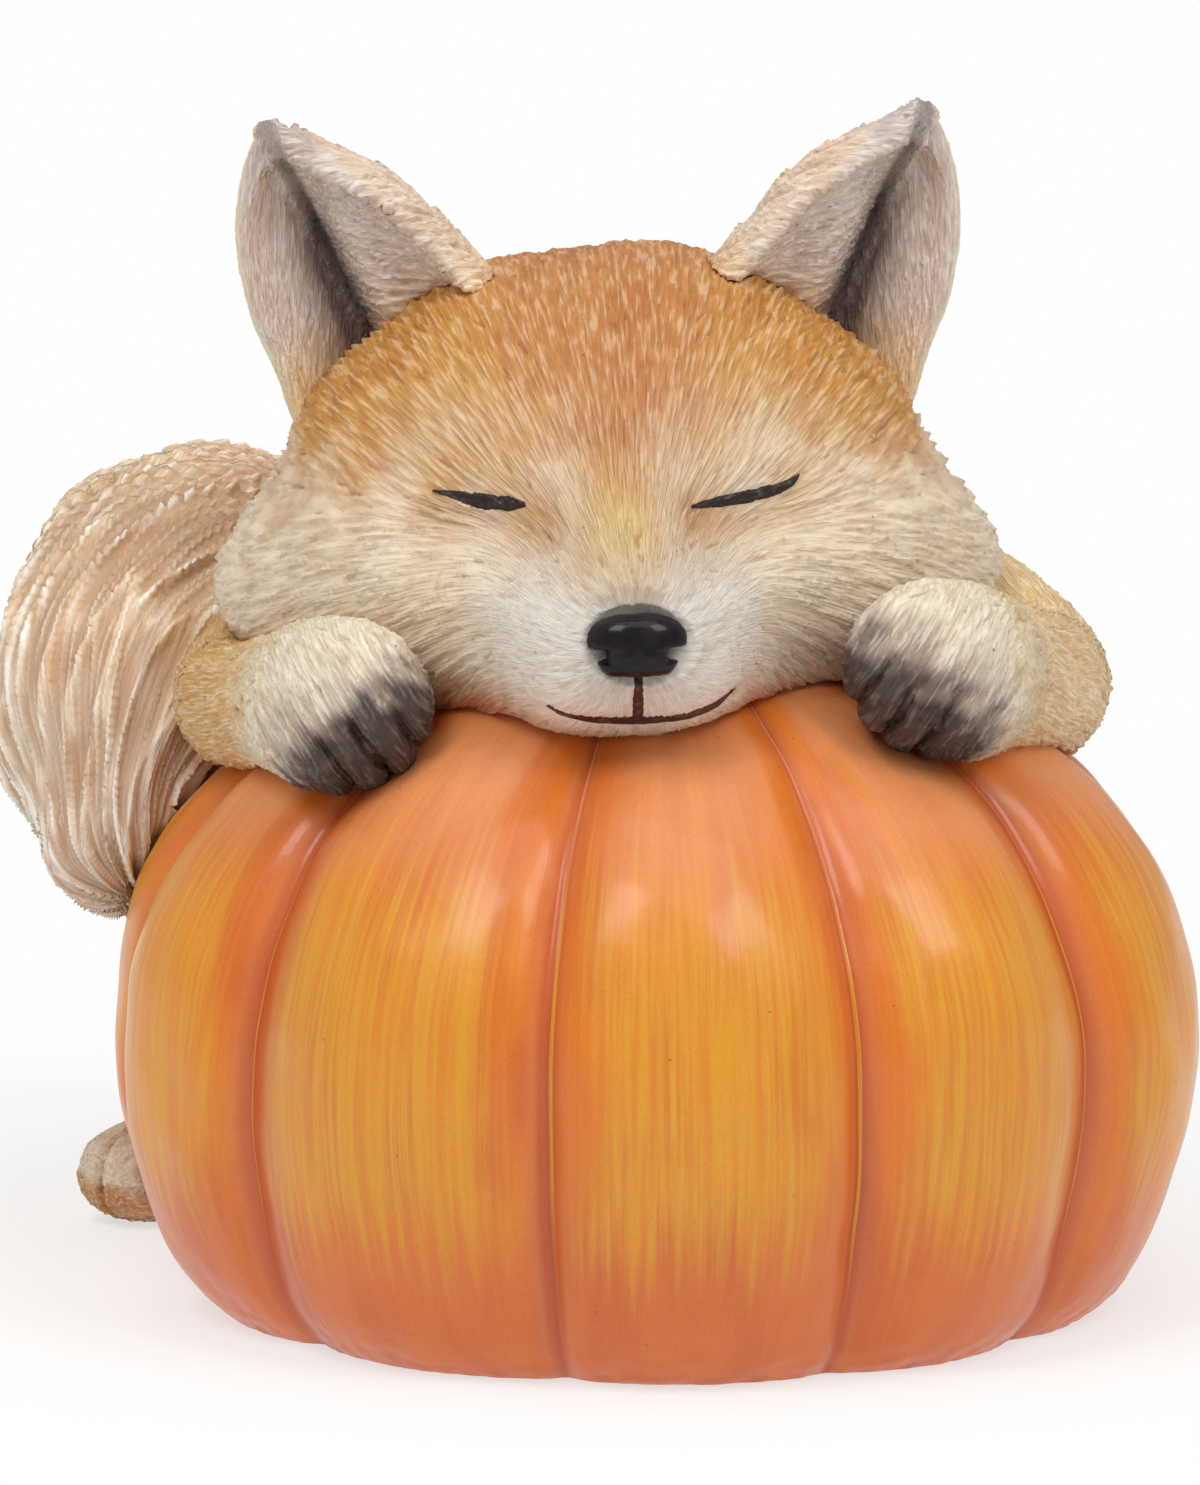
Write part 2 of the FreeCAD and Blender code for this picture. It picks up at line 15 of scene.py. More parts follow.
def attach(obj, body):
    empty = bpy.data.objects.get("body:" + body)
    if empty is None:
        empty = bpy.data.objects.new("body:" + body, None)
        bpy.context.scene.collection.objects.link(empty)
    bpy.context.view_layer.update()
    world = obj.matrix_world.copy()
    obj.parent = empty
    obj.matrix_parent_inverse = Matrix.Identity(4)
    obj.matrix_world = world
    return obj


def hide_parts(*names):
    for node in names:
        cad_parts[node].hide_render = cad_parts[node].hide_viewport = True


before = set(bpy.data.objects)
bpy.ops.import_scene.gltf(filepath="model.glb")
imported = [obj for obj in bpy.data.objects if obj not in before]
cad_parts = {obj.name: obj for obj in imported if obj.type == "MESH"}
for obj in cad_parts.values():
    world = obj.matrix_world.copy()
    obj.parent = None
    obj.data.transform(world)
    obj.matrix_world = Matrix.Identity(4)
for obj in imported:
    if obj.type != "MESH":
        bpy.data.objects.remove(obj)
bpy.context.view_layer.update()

MM = 0.001

# The planes down the fox's middle and between its forelegs
FOX_MIDDLE_X = -4.7
FORELEG_MIDDLE_X = -2.0

# Where the head's own frame stands: its middle, then its roll and turn in degrees
HEAD_MIDDLE = np.array([FOX_MIDDLE_X, 2.15, 73.0])
HEAD_ROLL = 1.5
HEAD_TURN = 2.5

# In the head's frame: the nose, the point that the fur streams from, and the ears' roots
NOSE_MIDDLE = np.array([0.8, -40.1, -1.8])
FLOW_SOURCE = np.array([0.8, -45.0, -1.5])
EAR_SPREAD = 21.3
EAR_SETBACK = 5.0
EAR_RISE = 22.0
EAR_LEAN = 25.0

# Each heel, from the fox's middle and the ground
HEEL_SPREAD = 29.0
HEEL_Y = 54.8
HEEL_HEIGHT = 5.2

# Where the pumpkin's ribs stand
RIB_COUNT = 10
RIB_TURN = 6.0
PUMPKIN_RADIUS = 55.7
PUMPKIN_HEIGHT = 67.0
RIB_GROOVE_DEPTH = 3.6

# The hole under the pumpkin, how deep it is shown, and the rounding of the foot
FOOT_RADIUS = 37.0
FOOT_RECESS = 4.2
FOOT_ROUNDING = 0.8

# Where the grooves are seen, in degrees round the pumpkin, and where even ones would be
GROOVES_SEEN = (-180, -85, -51, -12, 22.2, 54.6, 92, 180)
GROOVES_EVEN = (-180, -84, -48, -12, 24, 60, 96, 180)

# The spine that the back's fur follows, as (y, z)
SPINE = ((28, 74), (46, 62), (54, 40), (56, 12), (56, 0))

# How single strands vary about their layer's length, width and height, and how they overlap
STRAND_LENGTHS = (0.7, 1.25)
STRAND_WIDTHS = (0.7, 1.3)
STRAND_HEIGHTS = (0.6, 1.15)
STRAND_OVERLAP = 0.25

# Lights: name, place and size in metres, power in watts
LIGHTS = (
    ("key", (-0.36, -0.42, 0.80), (0.34, 0.36), 2.5),
    ("second", (0.42, -0.40, 0.74), (0.32, 0.36), 2.1),
    ("top", (0.0, -0.18, 0.85), (0.7, 0.55), 1.6),
)
LIGHT_AIM = (0, 0, 0.05)
FILL_LIGHT = 0.48

# Camera, in metres and degrees: what it looks at, from how far and how high, and how wide it sees
CAMERA_TARGET = (-0.0057, 0.0, 0.0557)
CAMERA_DISTANCE = 1.0
CAMERA_RISE = 9.0
VIEW_WIDTH = 0.1485
SENSOR_WIDTH = 36.0

# In metres: where the floor starts to run out into white, and where it has
FLOOR_FADE = (0.085, 0.20)


# Small helpers

def smooth(low, high, value):
    """0 below low, 1 above high and an eased step between; with low above high, the reverse."""
    t = np.clip((value - low) / (high - low), 0, 1)
    return t * t * (3 - 2 * t)


def unit(vectors):
    """Rows scaled to length one."""
    return vectors / np.maximum(np.linalg.norm(vectors, axis=-1, keepdims=True), 1e-9)


def ball(points, centre, size):
    """1 at a centre, falling away over an oval of the given half sizes."""
    offset = (points - np.asarray(centre, float)) / np.asarray(size, float)
    return np.exp(-np.sum(offset * offset, axis=1))


def both(points, centre, size):
    """The same oval on both sides of x = 0."""
    x, y, z = centre
    return ball(points, (x, y, z), size) + ball(points, (-x, y, z), size)


def forms(points, rows):
    """The sum of soft ovals, each given as (ball or both, amount, middle, half sizes)."""
    total = np.zeros(len(points))
    for shape, amount, middle, size in rows:
        total += amount * shape(points, middle, size)
    return total


class Noise:
    """Smooth seeded noise at points in space, from a few random waves."""

    def __init__(self, seed, scale, waves=28):
        rng = np.random.default_rng(seed)
        self.k = unit(rng.normal(size=(waves, 3))) * rng.uniform(0.5, 1.6, (waves, 1)) / scale
        self.shift = rng.uniform(0, 2 * math.pi, waves)

    def __call__(self, points):
        total = np.zeros(len(points))
        for k, shift in zip(self.k, self.shift):
            total += np.sin(points @ k * 2 * math.pi + shift)
        return total / math.sqrt(len(self.shift) / 2)


# Meshes in and out of numpy

def mesh_arrays(mesh):
    """Vertices in mm and vertex normals of a Blender mesh."""
    co = np.zeros(len(mesh.vertices) * 3, np.float32)
    mesh.vertices.foreach_get("co", co)
    no = np.zeros(len(mesh.vertices) * 3, np.float32)
    mesh.vertex_normals.foreach_get("vector", no)
    return co.reshape(-1, 3).astype(float) / MM, no.reshape(-1, 3).astype(float)


def set_points(obj, points):
    """Moves an object's vertices to points in mm."""
    obj.data.vertices.foreach_set("co", (points * MM).astype(np.float32).ravel())
    obj.data.update()


def attribute(obj, name, values):
    """Stores one number per vertex for the material to read."""
    layer = obj.data.attributes.new(name, "FLOAT", "POINT")
    layer.data.foreach_set("value", np.asarray(values, np.float32))


def mask(obj, name, values, amount=1.0):
    """Stores where a colour of the paint goes, held to 0..1, and how strongly at most."""
    attribute(obj, name, np.clip(values, 0, 1) * amount)


def comb(obj, places):
    """Stores per vertex a place that changes quickly across the fur and slowly along it."""
    layer = obj.data.attributes.new("comb", "FLOAT_VECTOR", "POINT")
    layer.data.foreach_set("vector", np.asarray(places, np.float32).ravel())


def straight_comb(points, ahead):
    """Comb places for fur that all lies one way."""
    return points - 0.88 * (points @ ahead)[:, None] * ahead


def new_piece(name, points, faces):
    """An object from mm points and faces, shaded smooth."""
    mesh = bpy.data.meshes.new(name)
    mesh.from_pydata((np.asarray(points) * MM).tolist(), [], faces)
    mesh.update()
    obj = bpy.data.objects.new(name, mesh)
    bpy.context.scene.collection.objects.link(obj)
    shade_smooth(obj)
    return obj


def applied(obj):
    """Replaces an object's mesh with the result of its modifiers."""
    evaluated = obj.evaluated_get(bpy.context.evaluated_depsgraph_get())
    mesh = bpy.data.meshes.new_from_object(evaluated)
    obj.modifiers.clear()
    obj.data = mesh
    return obj


def net_faces(rows, around):
    """Faces of a net whose rows close round, with a lid on the last row."""
    faces = []
    for row in range(rows - 1):
        for number in range(around):
            after = (number + 1) % around
            faces.append((
                row * around + number, row * around + after,
                (row + 1) * around + after, (row + 1) * around + number,
            ))
    faces.append(tuple(range((rows - 1) * around, rows * around)))
    return faces


def carved_base(name, node, voxel, rounds):
    """An even mesh over a CAD node: remeshed, relaxed and subdivided smooth."""
    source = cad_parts[node]
    obj = bpy.data.objects.new(name, source.data.copy())
    bpy.context.scene.collection.objects.link(obj)
    obj.data.materials.clear()
    remesh = obj.modifiers.new("remesh", "REMESH")
    remesh.mode = "VOXEL"
    remesh.voxel_size = voxel * MM
    relax = obj.modifiers.new("relax", "SMOOTH")
    relax.factor = 0.5
    relax.iterations = rounds
    finer = obj.modifiers.new("finer", "SUBSURF")
    finer.levels = 1
    finer.render_levels = 1
    applied(obj)
    return obj


def refine(obj, chosen):
    """Splits the edges of the faces for which chosen(centres mm, normals) holds."""
    bm = bmesh.new()
    bm.from_mesh(obj.data)
    centres = np.array([face.calc_center_median() for face in bm.faces]) / MM
    normals = np.array([face.normal for face in bm.faces])
    keep = chosen(centres, normals)
    edges = {edge for face, wanted in zip(bm.faces, keep) if wanted for edge in face.edges}
    bmesh.ops.subdivide_edges(bm, edges=list(edges), cuts=1, use_grid_fill=True, smooth=0.0)
    bm.to_mesh(obj.data)
    bm.free()
    obj.data.update()


def shade_smooth(obj):
    """Shades every face of an object smooth."""
    obj.data.polygons.foreach_set("use_smooth", [True] * len(obj.data.polygons))
    obj.data.update()


def relaxed(obj, points, strength=0.5, rounds=1):
    """Points moved towards the mean of their neighbours along the edges."""
    edges = np.zeros(len(obj.data.edges) * 2, np.int64)
    obj.data.edges.foreach_get("vertices", edges)
    a, b = edges.reshape(-1, 2).T
    count = np.bincount(np.concatenate([a, b]), minlength=len(points)).astype(float)
    values = points.reshape(len(points), -1)
    for _ in range(rounds):
        total = np.zeros_like(values)
        for column in range(values.shape[1]):
            total[:, column] = np.bincount(a, values[b, column], len(points))
            total[:, column] += np.bincount(b, values[a, column], len(points))
        mean = total / np.maximum(count, 1)[:, None]
        values = values + (mean - values) * strength
    return values.reshape(points.shape)


# Carved fur

class Strands:
    """One layer of strands on their way over a surface, with one entry for each strand."""

    def __init__(self, coat, starts, width, height, spread):
        rng, count = coat.rng, len(starts)
        self.place = coat.points[starts].copy()
        self.normal = coat.normals[starts].copy()
        self.scale = rng.uniform(*STRAND_LENGTHS, count)
        self.width = width * rng.uniform(*STRAND_WIDTHS, count)
        self.height = height * rng.uniform(*STRAND_HEIGHTS, count)
        self.tone = rng.uniform(0, 1, count)
        self.layer = rng.uniform(0, STRAND_OVERLAP, count) * height
        self.swing = rng.normal(0, spread, count)
        self.phase = rng.uniform(0, 2 * math.pi, count)
        self.alive = np.ones(count, bool)

    def turn(self, flow, share, wave):
        """Turns each strand the way the fur flows at its place, give or take its own swing."""
        ahead = flow(self.place, self.normal)
        ahead = unit(ahead - self.normal * np.sum(ahead * self.normal, 1)[:, None])
        side = np.cross(self.normal, ahead)
        bend = self.swing + wave * np.sin(self.phase + share * 2 * math.pi)
        self.ahead = unit(ahead + side * np.tan(np.clip(bend, -0.9, 0.9))[:, None])
        self.side = np.cross(self.normal, self.ahead)


class Coat:
    """Strands carved over a surface: each is a tapering ridge laid along the way the fur flows."""

    def __init__(self, obj, seed):
        self.points, self.normals = mesh_arrays(obj.data)
        self.rng = np.random.default_rng(seed)
        count = len(self.points)
        self.rise = np.zeros(count)
        self.ridge = np.zeros(count)
        self.level = np.zeros(count)
        self.tone = np.full(count, 0.5)

    def index(self, cell):
        """Sorts the vertices into cells, so that the ones near a place are found at once."""
        self.cell = cell
        self.low = self.points.min(0) - cell
        self.span = np.ceil((self.points.max(0) + cell - self.low) / cell).astype(int) + 1
        keys = self.key(np.floor((self.points - self.low) / cell).astype(int))
        self.order = np.argsort(keys, kind="stable")
        self.sorted_keys = keys[self.order]

    def key(self, cells):
        """One number for each cell."""
        return (cells[:, 0] * self.span[1] + cells[:, 1]) * self.span[2] + cells[:, 2]

    def near(self, places):
        """Pairs of place number and vertex number, for the cells round each place."""
        base = np.floor((places - self.low) / self.cell).astype(int)
        starts, counts, owners = [], [], []
        for dx in (-1, 0, 1):
            for dy in (-1, 0, 1):
                for dz in (-1, 0, 1):
                    cells = base + np.array([dx, dy, dz])
                    inside = np.all((cells >= 0) & (cells < self.span), axis=1)
                    keys = self.key(cells[inside])
                    start = np.searchsorted(self.sorted_keys, keys, "left")
                    end = np.searchsorted(self.sorted_keys, keys, "right")
                    starts.append(start)
                    counts.append(end - start)
                    owners.append(np.flatnonzero(inside))
        start = np.concatenate(starts)
        count = np.concatenate(counts)
        owner = np.concatenate(owners)
        some = count > 0
        start, count, owner = start[some], count[some], owner[some]
        total = int(count.sum())
        offset = np.arange(total) - np.repeat(np.cumsum(count) - count, count)
        vertex = self.order[np.repeat(start, count) + offset]
        return np.repeat(owner, count), vertex

    def surface(self, places):
        """The nearest vertex number for each place, or -1."""
        owner, vertex = self.near(places)
        gap = np.sum((self.points[vertex] - places[owner]) ** 2, axis=1)
        order = np.lexsort((gap, owner))
        owner, vertex = owner[order], vertex[order]
        first = np.ones(len(owner), bool)
        first[1:] = owner[1:] != owner[:-1]
        found = np.full(len(places), -1)
        found[owner[first]] = vertex[first]
        return found

    def roots(self, spacing, where):
        """Vertices where strands start: one per cell of a shifted grid, thinned out by where."""
        rng = self.rng
        room = 1.0 if where is None else where(self.points, self.normals)
        chance = np.broadcast_to(np.asarray(room, float), (len(self.points),))
        cells = np.floor(self.points / spacing + rng.uniform(0, 1, 3)).astype(int)
        keys = np.bitwise_xor.reduce(cells * np.array([73856093, 19349663, 83492791]), axis=1)
        shuffled = rng.permutation(len(keys))
        _, first = np.unique(keys[shuffled], return_index=True)
        starts = shuffled[first]
        starts = starts[rng.uniform(0, 1, len(starts)) < chance[starts]]
        rng.shuffle(starts)
        return starts

    def lay(self, flow, spacing, length, width, height, where=None, sharp=1.0, wave=0.0, steps=5,
            spread=0.35, tip=0.35):
        """Lays strands all over, one per spacing squared, and keeps the highest at each vertex.

        flow(points, normals) gives the way the fur lies. sharp above 1 makes thinner crests.
        """
        step = length / steps
        self.index(max(step, width) * 1.05)
        starts = self.roots(spacing, where)
        if not len(starts):
            return
        strands = Strands(self, starts, width, height, spread)
        for number in range(steps + 1):
            share = number / steps
            strands.turn(flow, share, wave)
            half_share = 0.5 * (1 - (1 - tip) * share ** 1.5) * min(1.0, 0.45 + share * 2.2)
            self.press(strands, share, length, step, width, half_share, sharp)
            self.advance(strands, step)

    def press(self, strands, share, length, step, width, half_share, sharp):
        """Raises the vertices under each strand's present stretch, where they lie lower."""
        live = np.flatnonzero(strands.alive)
        owner, vertex = self.near(strands.place[live])
        owner = live[owner]
        gap = self.points[vertex] - strands.place[owner]
        u = np.sum(gap * strands.ahead[owner], 1)
        v = np.sum(gap * strands.side[owner], 1)
        n = np.sum(gap * strands.normal[owner], 1)
        half = strands.width[owner] * half_share
        inside = (np.abs(u) < step * strands.scale[owner] * 0.62) & (np.abs(v) < half)
        inside &= np.abs(n) < width * 1.6
        inside &= np.sum(self.normals[vertex] * strands.normal[owner], 1) > 0.2
        owner, vertex, u, v, half = (values[inside] for values in (owner, vertex, u, v, half))
        exact = np.clip(share + u / (length * strands.scale[owner]), 0, 1)
        lift = (0.35 + 0.65 * exact) * smooth(0, 0.16, exact) * (1 - smooth(0.93, 1.0, exact) * 0.9)
        across = (1 - np.abs(v / half)) ** sharp if sharp > 1 else 1 - (v / half) ** 2
        level = lift * across
        rise = strands.height[owner] * level + strands.layer[owner] * lift
        order = np.argsort(rise, kind="stable")
        owner, vertex, rise, level, across = (
            values[order] for values in (owner, vertex, rise, level, across)
        )
        best = np.zeros(len(self.points))
        best[vertex] = rise
        winner = np.full(len(self.points), -1)
        winner[vertex] = np.arange(len(vertex))
        better = best > self.rise
        chosen = winner[better]
        self.rise[better] = best[better]
        self.ridge[better] = across[chosen]
        self.level[better] = level[chosen]
        self.tone[better] = strands.tone[owner[chosen]]

    def advance(self, strands, step):
        """Moves each strand on by a step and back onto the surface."""
        place = strands.place + strands.ahead * (step * strands.scale)[:, None]
        nearest = self.surface(place)
        strands.alive &= nearest >= 0
        held = nearest[strands.alive]
        above = np.sum((place[strands.alive] - self.points[held]) * self.normals[held], 1)
        place[strands.alive] -= self.normals[held] * above[:, None]
        strands.place = place
        strands.normal[strands.alive] = self.normals[held]

    def finish(self, obj, height, sink):
        """Moves the surface by the carving and stores what the paint needs."""
        moved = self.points + self.normals * (self.rise - height * sink)[:, None]
        set_points(obj, moved)
        attribute(obj, "rise", self.level)
        attribute(obj, "ridge", self.ridge)
        attribute(obj, "tone", self.tone)


# Materials

class Paint:
    """A node material built up layer by layer."""

    def __init__(self, name):
        self.material = bpy.data.materials.new(name)
        self.material.use_nodes = True
        self.tree = self.material.node_tree
        self.shader = self.tree.nodes["Principled BSDF"]
        self.heights = []

    def node(self, kind, **settings):
        """A new node with the given settings."""
        node = self.tree.nodes.new(kind)
        for key, value in settings.items():
            setattr(node, key, value)
        return node

    def link(self, source, target):
        """Feeds an input from a socket or with a plain number."""
        if isinstance(source, (int, float)):
            target.default_value = source
        else:
            self.tree.links.new(source, target)

    def attribute(self, name):
        """A number stored per vertex."""
        return self.node("ShaderNodeAttribute", attribute_name=name).outputs["Fac"]

    def place(self, scale=(1, 1, 1)):
        """The object's own coordinates in mm, stretched by scale."""
        coordinates = self.node("ShaderNodeTexCoord").outputs["Object"]
        mapping = self.node("ShaderNodeMapping")
        self.tree.links.new(coordinates, mapping.inputs["Vector"])
        mapping.inputs["Scale"].default_value = [factor / MM for factor in scale]
        return mapping.outputs["Vector"]

    def noise(self, scale=(1, 1, 1), detail=3.0, rough=0.5, vector=None):
        """Soft noise in the object's own space, or along a given vector."""
        node = self.node("ShaderNodeTexNoise")
        self.tree.links.new(vector or self.place(scale), node.inputs["Vector"])
        node.inputs["Scale"].default_value = 1.0
        node.inputs["Detail"].default_value = detail
        node.inputs["Roughness"].default_value = rough
        return node.outputs["Fac"]

    def combed(self, scale, detail=2.0):
        """Fine noise drawn out along the way the fur lies."""
        source = self.node("ShaderNodeAttribute", attribute_name="comb").outputs["Vector"]
        scaled = self.node("ShaderNodeVectorMath", operation="SCALE")
        self.tree.links.new(source, scaled.inputs[0])
        scaled.inputs["Scale"].default_value = scale
        return self.noise(detail=detail, vector=scaled.outputs[0])

    def math(self, operation, a, b=0.0):
        """One sum of two sockets or numbers."""
        node = self.node("ShaderNodeMath", operation=operation)
        self.link(a, node.inputs[0])
        self.link(b, node.inputs[1])
        return node.outputs[0]

    def step(self, value, low, high, to_low=0.0, to_high=1.0):
        """Value eased from low..high onto to_low..to_high."""
        node = self.node("ShaderNodeMapRange", interpolation_type="SMOOTHSTEP")
        self.link(value, node.inputs["Value"])
        node.inputs["From Min"].default_value = low
        node.inputs["From Max"].default_value = high
        node.inputs["To Min"].default_value = to_low
        node.inputs["To Max"].default_value = to_high
        return node.outputs["Result"]

    def colour(self, rgb):
        """A fixed screen colour."""
        node = self.node("ShaderNodeRGB")
        node.outputs[0].default_value = (*linear(rgb), 1)
        return node.outputs[0]

    def mix(self, amount, a, b, blend="MIX"):
        """Colour b over colour a by an amount."""
        node = self.node("ShaderNodeMix", data_type="RGBA", blend_type=blend)
        self.link(amount, node.inputs[0])
        self.tree.links.new(a, node.inputs[6])
        self.tree.links.new(b, node.inputs[7])
        return node.outputs[2]

    def over(self, base, rgb, amount):
        """A fixed colour laid over the base by an amount."""
        return self.mix(amount, base, self.colour(rgb))

    def bump(self, height, distance, strength):
        """Fine relief, distance mm high, on top of any before it."""
        node = self.node("ShaderNodeBump")
        node.inputs["Strength"].default_value = strength
        node.inputs["Distance"].default_value = distance * MM
        self.tree.links.new(height, node.inputs["Height"])
        if self.heights:
            self.tree.links.new(self.heights[-1], node.inputs["Normal"])
        self.heights.append(node.outputs["Normal"])

    def done(self, base, roughness, coat=0.0, coat_roughness=0.2, specular=0.5, sheen=0.0):
        """Joins everything to the shader and hands back the material."""
        inputs = self.shader.inputs
        self.tree.links.new(base, inputs["Base Color"])
        self.link(roughness, inputs["Roughness"])
        inputs["Coat Weight"].default_value = coat
        inputs["Coat Roughness"].default_value = coat_roughness
        inputs["Specular IOR Level"].default_value = specular
        inputs["Sheen Weight"].default_value = sheen
        if self.heights:
            self.tree.links.new(self.heights[-1], inputs["Normal"])
        return self.material


def linear(rgb):
    """Screen colour 0-255 to linear light."""
    values = []
    for channel in rgb:
        share = channel / 255
        values.append(share / 12.92 if share <= 0.04045 else ((share + 0.055) / 1.055) ** 2.4)
    return values


def pinholes(paint, base, seed_shift, amount):
    """Tiny dark pits of trapped air, here and there."""
    place = paint.place((0.42, 0.42, 0.42))
    moved = paint.node("ShaderNodeVectorMath", operation="ADD")
    paint.tree.links.new(place, moved.inputs[0])
    moved.inputs[1].default_value = (seed_shift, seed_shift * 0.7, seed_shift * 1.3)
    cells = paint.node("ShaderNodeTexVoronoi", feature="F1")
    paint.tree.links.new(moved.outputs[0], cells.inputs["Vector"])
    cells.inputs["Scale"].default_value = 1.0
    dots = paint.step(cells.outputs["Distance"], 0.05, 0.085, 1.0, 0.0)
    pick = paint.node("ShaderNodeSeparateColor")
    paint.tree.links.new(cells.outputs["Color"], pick.inputs[0])
    chosen = paint.step(pick.outputs[0], 0.86, 0.87)
    dots = paint.math("MULTIPLY", dots, chosen)
    dots = paint.math("MULTIPLY", dots, amount)
    return paint.over(base, (92, 62, 42), dots)


def fur_paint(name, layers, groove, crest, crest_amount, groove_amount, seed=0.0, spare=None,
              calm=None, shade=(230, 228, 220), fineness=3.0, gap_amount=0.34):
    """Painted fur: base layers by mask, a darker wash in the grooves, dry-brushed crests.

    layers is a list of (screen colour, mask attribute or None); the first covers everything.
    spare names the mask of a place that the wash is wiped off again, calm one that keeps its dark
    colour under the dry brush, and shade tints it all. fineness is how many painted hairs go side
    by side in a millimetre or so, and gap_amount how dark the wash is between them.
    """
    paint = Paint(name)
    base = paint.colour(layers[0][0])
    for rgb, mask in layers[1:]:
        base = paint.over(base, rgb, paint.attribute(mask))
    base = paint.mix(1.0, base, paint.colour(shade), "MULTIPLY")
    tone = paint.attribute("tone")
    base = paint.mix(paint.math("MULTIPLY", tone, 0.20), base, paint.colour((255, 246, 226)), "SOFT_LIGHT")
    blotch = paint.noise((0.16, 0.16, 0.16), detail=4.0)
    blotched = paint.step(blotch, 0.35, 0.7, 0.0, 0.35)
    base = paint.mix(blotched, base, paint.colour((150, 112, 84)), "SOFT_LIGHT")
    rise = paint.attribute("rise")
    ridge = paint.attribute("ridge")
    wash = paint.step(ridge, 0.0, 0.60, 1.0, 0.0)
    deep = paint.step(rise, 0.0, 0.40, 0.6, 0.0)
    wash = paint.math("MAXIMUM", paint.math("MULTIPLY", wash, 0.70), deep)
    fine = paint.combed(fineness)
    gap = paint.step(fine, 0.34, 0.52, gap_amount, 0.0)
    wash = paint.math("MAXIMUM", wash, gap)
    if spare:
        kept = paint.math("SUBTRACT", 1.0, paint.math("MULTIPLY", paint.attribute(spare), 0.70))
        wash = paint.math("MULTIPLY", wash, kept)
    wash_colour = paint.mix(1.0, base, paint.colour(groove), "MULTIPLY")
    base = paint.mix(paint.math("MULTIPLY", wash, groove_amount), base, wash_colour)
    brushed = paint.math("MULTIPLY", paint.step(fine, 0.50, 0.66), paint.step(ridge, 0.1, 0.9, 0.4, 1.0))
    brushed = paint.math("MULTIPLY", brushed, paint.step(rise, 0.0, 0.6, 0.4, 1.0))
    if calm:
        kept = paint.math("SUBTRACT", 1.0, paint.math("MULTIPLY", paint.attribute(calm), 0.85))
        brushed = paint.math("MULTIPLY", brushed, kept)
    base = paint.over(base, crest, paint.math("MULTIPLY", brushed, crest_amount))
    base = pinholes(paint, base, seed, 0.6)
    paint.bump(fine, 0.36, 0.9)
    paint.bump(paint.noise((2.6, 2.6, 2.6), detail=4.0), 0.04, 0.5)
    return paint.done(base, 0.55, coat=0.10, coat_roughness=0.38, specular=0.4)


# Head

def turn_matrix():
    """Rows are the head's own right, back and up directions in the part's frame."""
    roll = Matrix.Rotation(math.radians(HEAD_ROLL), 3, Vector((0, -1, 0)))
    turn = Matrix.Rotation(math.radians(HEAD_TURN), 3, "Z")
    return np.array(roll @ turn)


HEAD_AXES = turn_matrix()


def to_head(points):
    """Points of the part in the head's own frame: x right, y back, z up."""
    return (points - HEAD_MIDDLE) @ HEAD_AXES


def from_head(points):
    """Points of the head's own frame in the part's frame."""
    return points @ HEAD_AXES.T + HEAD_MIDDLE


def head_flow(points, normals):
    """Fur runs from the nose over the crown, and outwards and down over the cheeks."""
    p = to_head(points)
    away = p - FLOW_SOURCE
    side = np.abs(p[:, 0])
    crown = smooth(6, 16, p[:, 2]) * (1 - smooth(30, 60, side + 30 - p[:, 2]))
    cheek = 1 - smooth(4, 15, p[:, 2])
    flow = unit(away)
    flow[:, 2] -= 0.52 * cheek * smooth(4, 16, side)
    flow[:, 0] *= 1 + 0.25 * cheek
    flow[:, 2] += 0.35 * crown * (1 - smooth(3, 14, side))
    upper = smooth(14, 24, p[:, 2])
    flow[:, 0] += 0.35 * upper * np.sign(p[:, 0]) * smooth(2, 14, side)
    back = smooth(-2, 18, p[:, 1])
    flow = flow * (1 - back[:, None]) + np.stack(
        [0.15 * np.sign(p[:, 0]), np.ones(len(p)), -0.9 * smooth(4, 25, p[:, 1])], 1
    ) * back[:, None]
    return flow @ HEAD_AXES.T


def head_comb(points):
    """Comb places for fur that streams away from the nose all round and droops over the cheeks."""
    p = to_head(points)
    away = p - FLOW_SOURCE
    spread = np.maximum(np.hypot(away[:, 0], away[:, 2]), 1.0)
    turn = np.arctan2(away[:, 2], away[:, 0])
    droop = 0.45 * (1 - smooth(4, 15, p[:, 2])) * smooth(4, 16, np.abs(p[:, 0]))
    turn += np.sign(p[:, 0]) * droop * np.log(spread / 20)
    reach = np.linalg.norm(away, axis=1)
    return np.stack([24 * np.cos(turn), 24 * np.sin(turn), 0.10 * reach], 1)


# What is carved on the head: ball or both, mm raised or pressed in, middle and half sizes
HEAD_FORMS = (
    (both, -1.3, (7.8, -27, 8.8), (4.0, 8, 3.6)), (both, 1.2, (13.2, -22, 12.4), (6.2, 7, 2.4)),
    (both, -0.8, (13.5, -22, 7.6), (7.5, 7, 1.9)), (both, 0.5, (13.0, -16, 18.5), (7.5, 8, 3.0)),
    (both, 1.2, (20.0, -16, -1.0), (9, 10, 7)), (both, 1.3, (5.2, -37, -5.6), (4.6, 6, 4.0)),
    (ball, 0.8, (0, -24, 16), (4.5, 14, 9)), (ball, 1.4, (0.8, -35.5, -13.2), (9.0, 7, 2.2)),
    (ball, -0.6, (0.8, -38.5, -7.0), (0.6, 4, 3.0)), (both, -2.0, (35, -5, 9), (9, 22, 7)),
    (both, 0.7, (28, 4, 20), (6, 9, 6)),
)


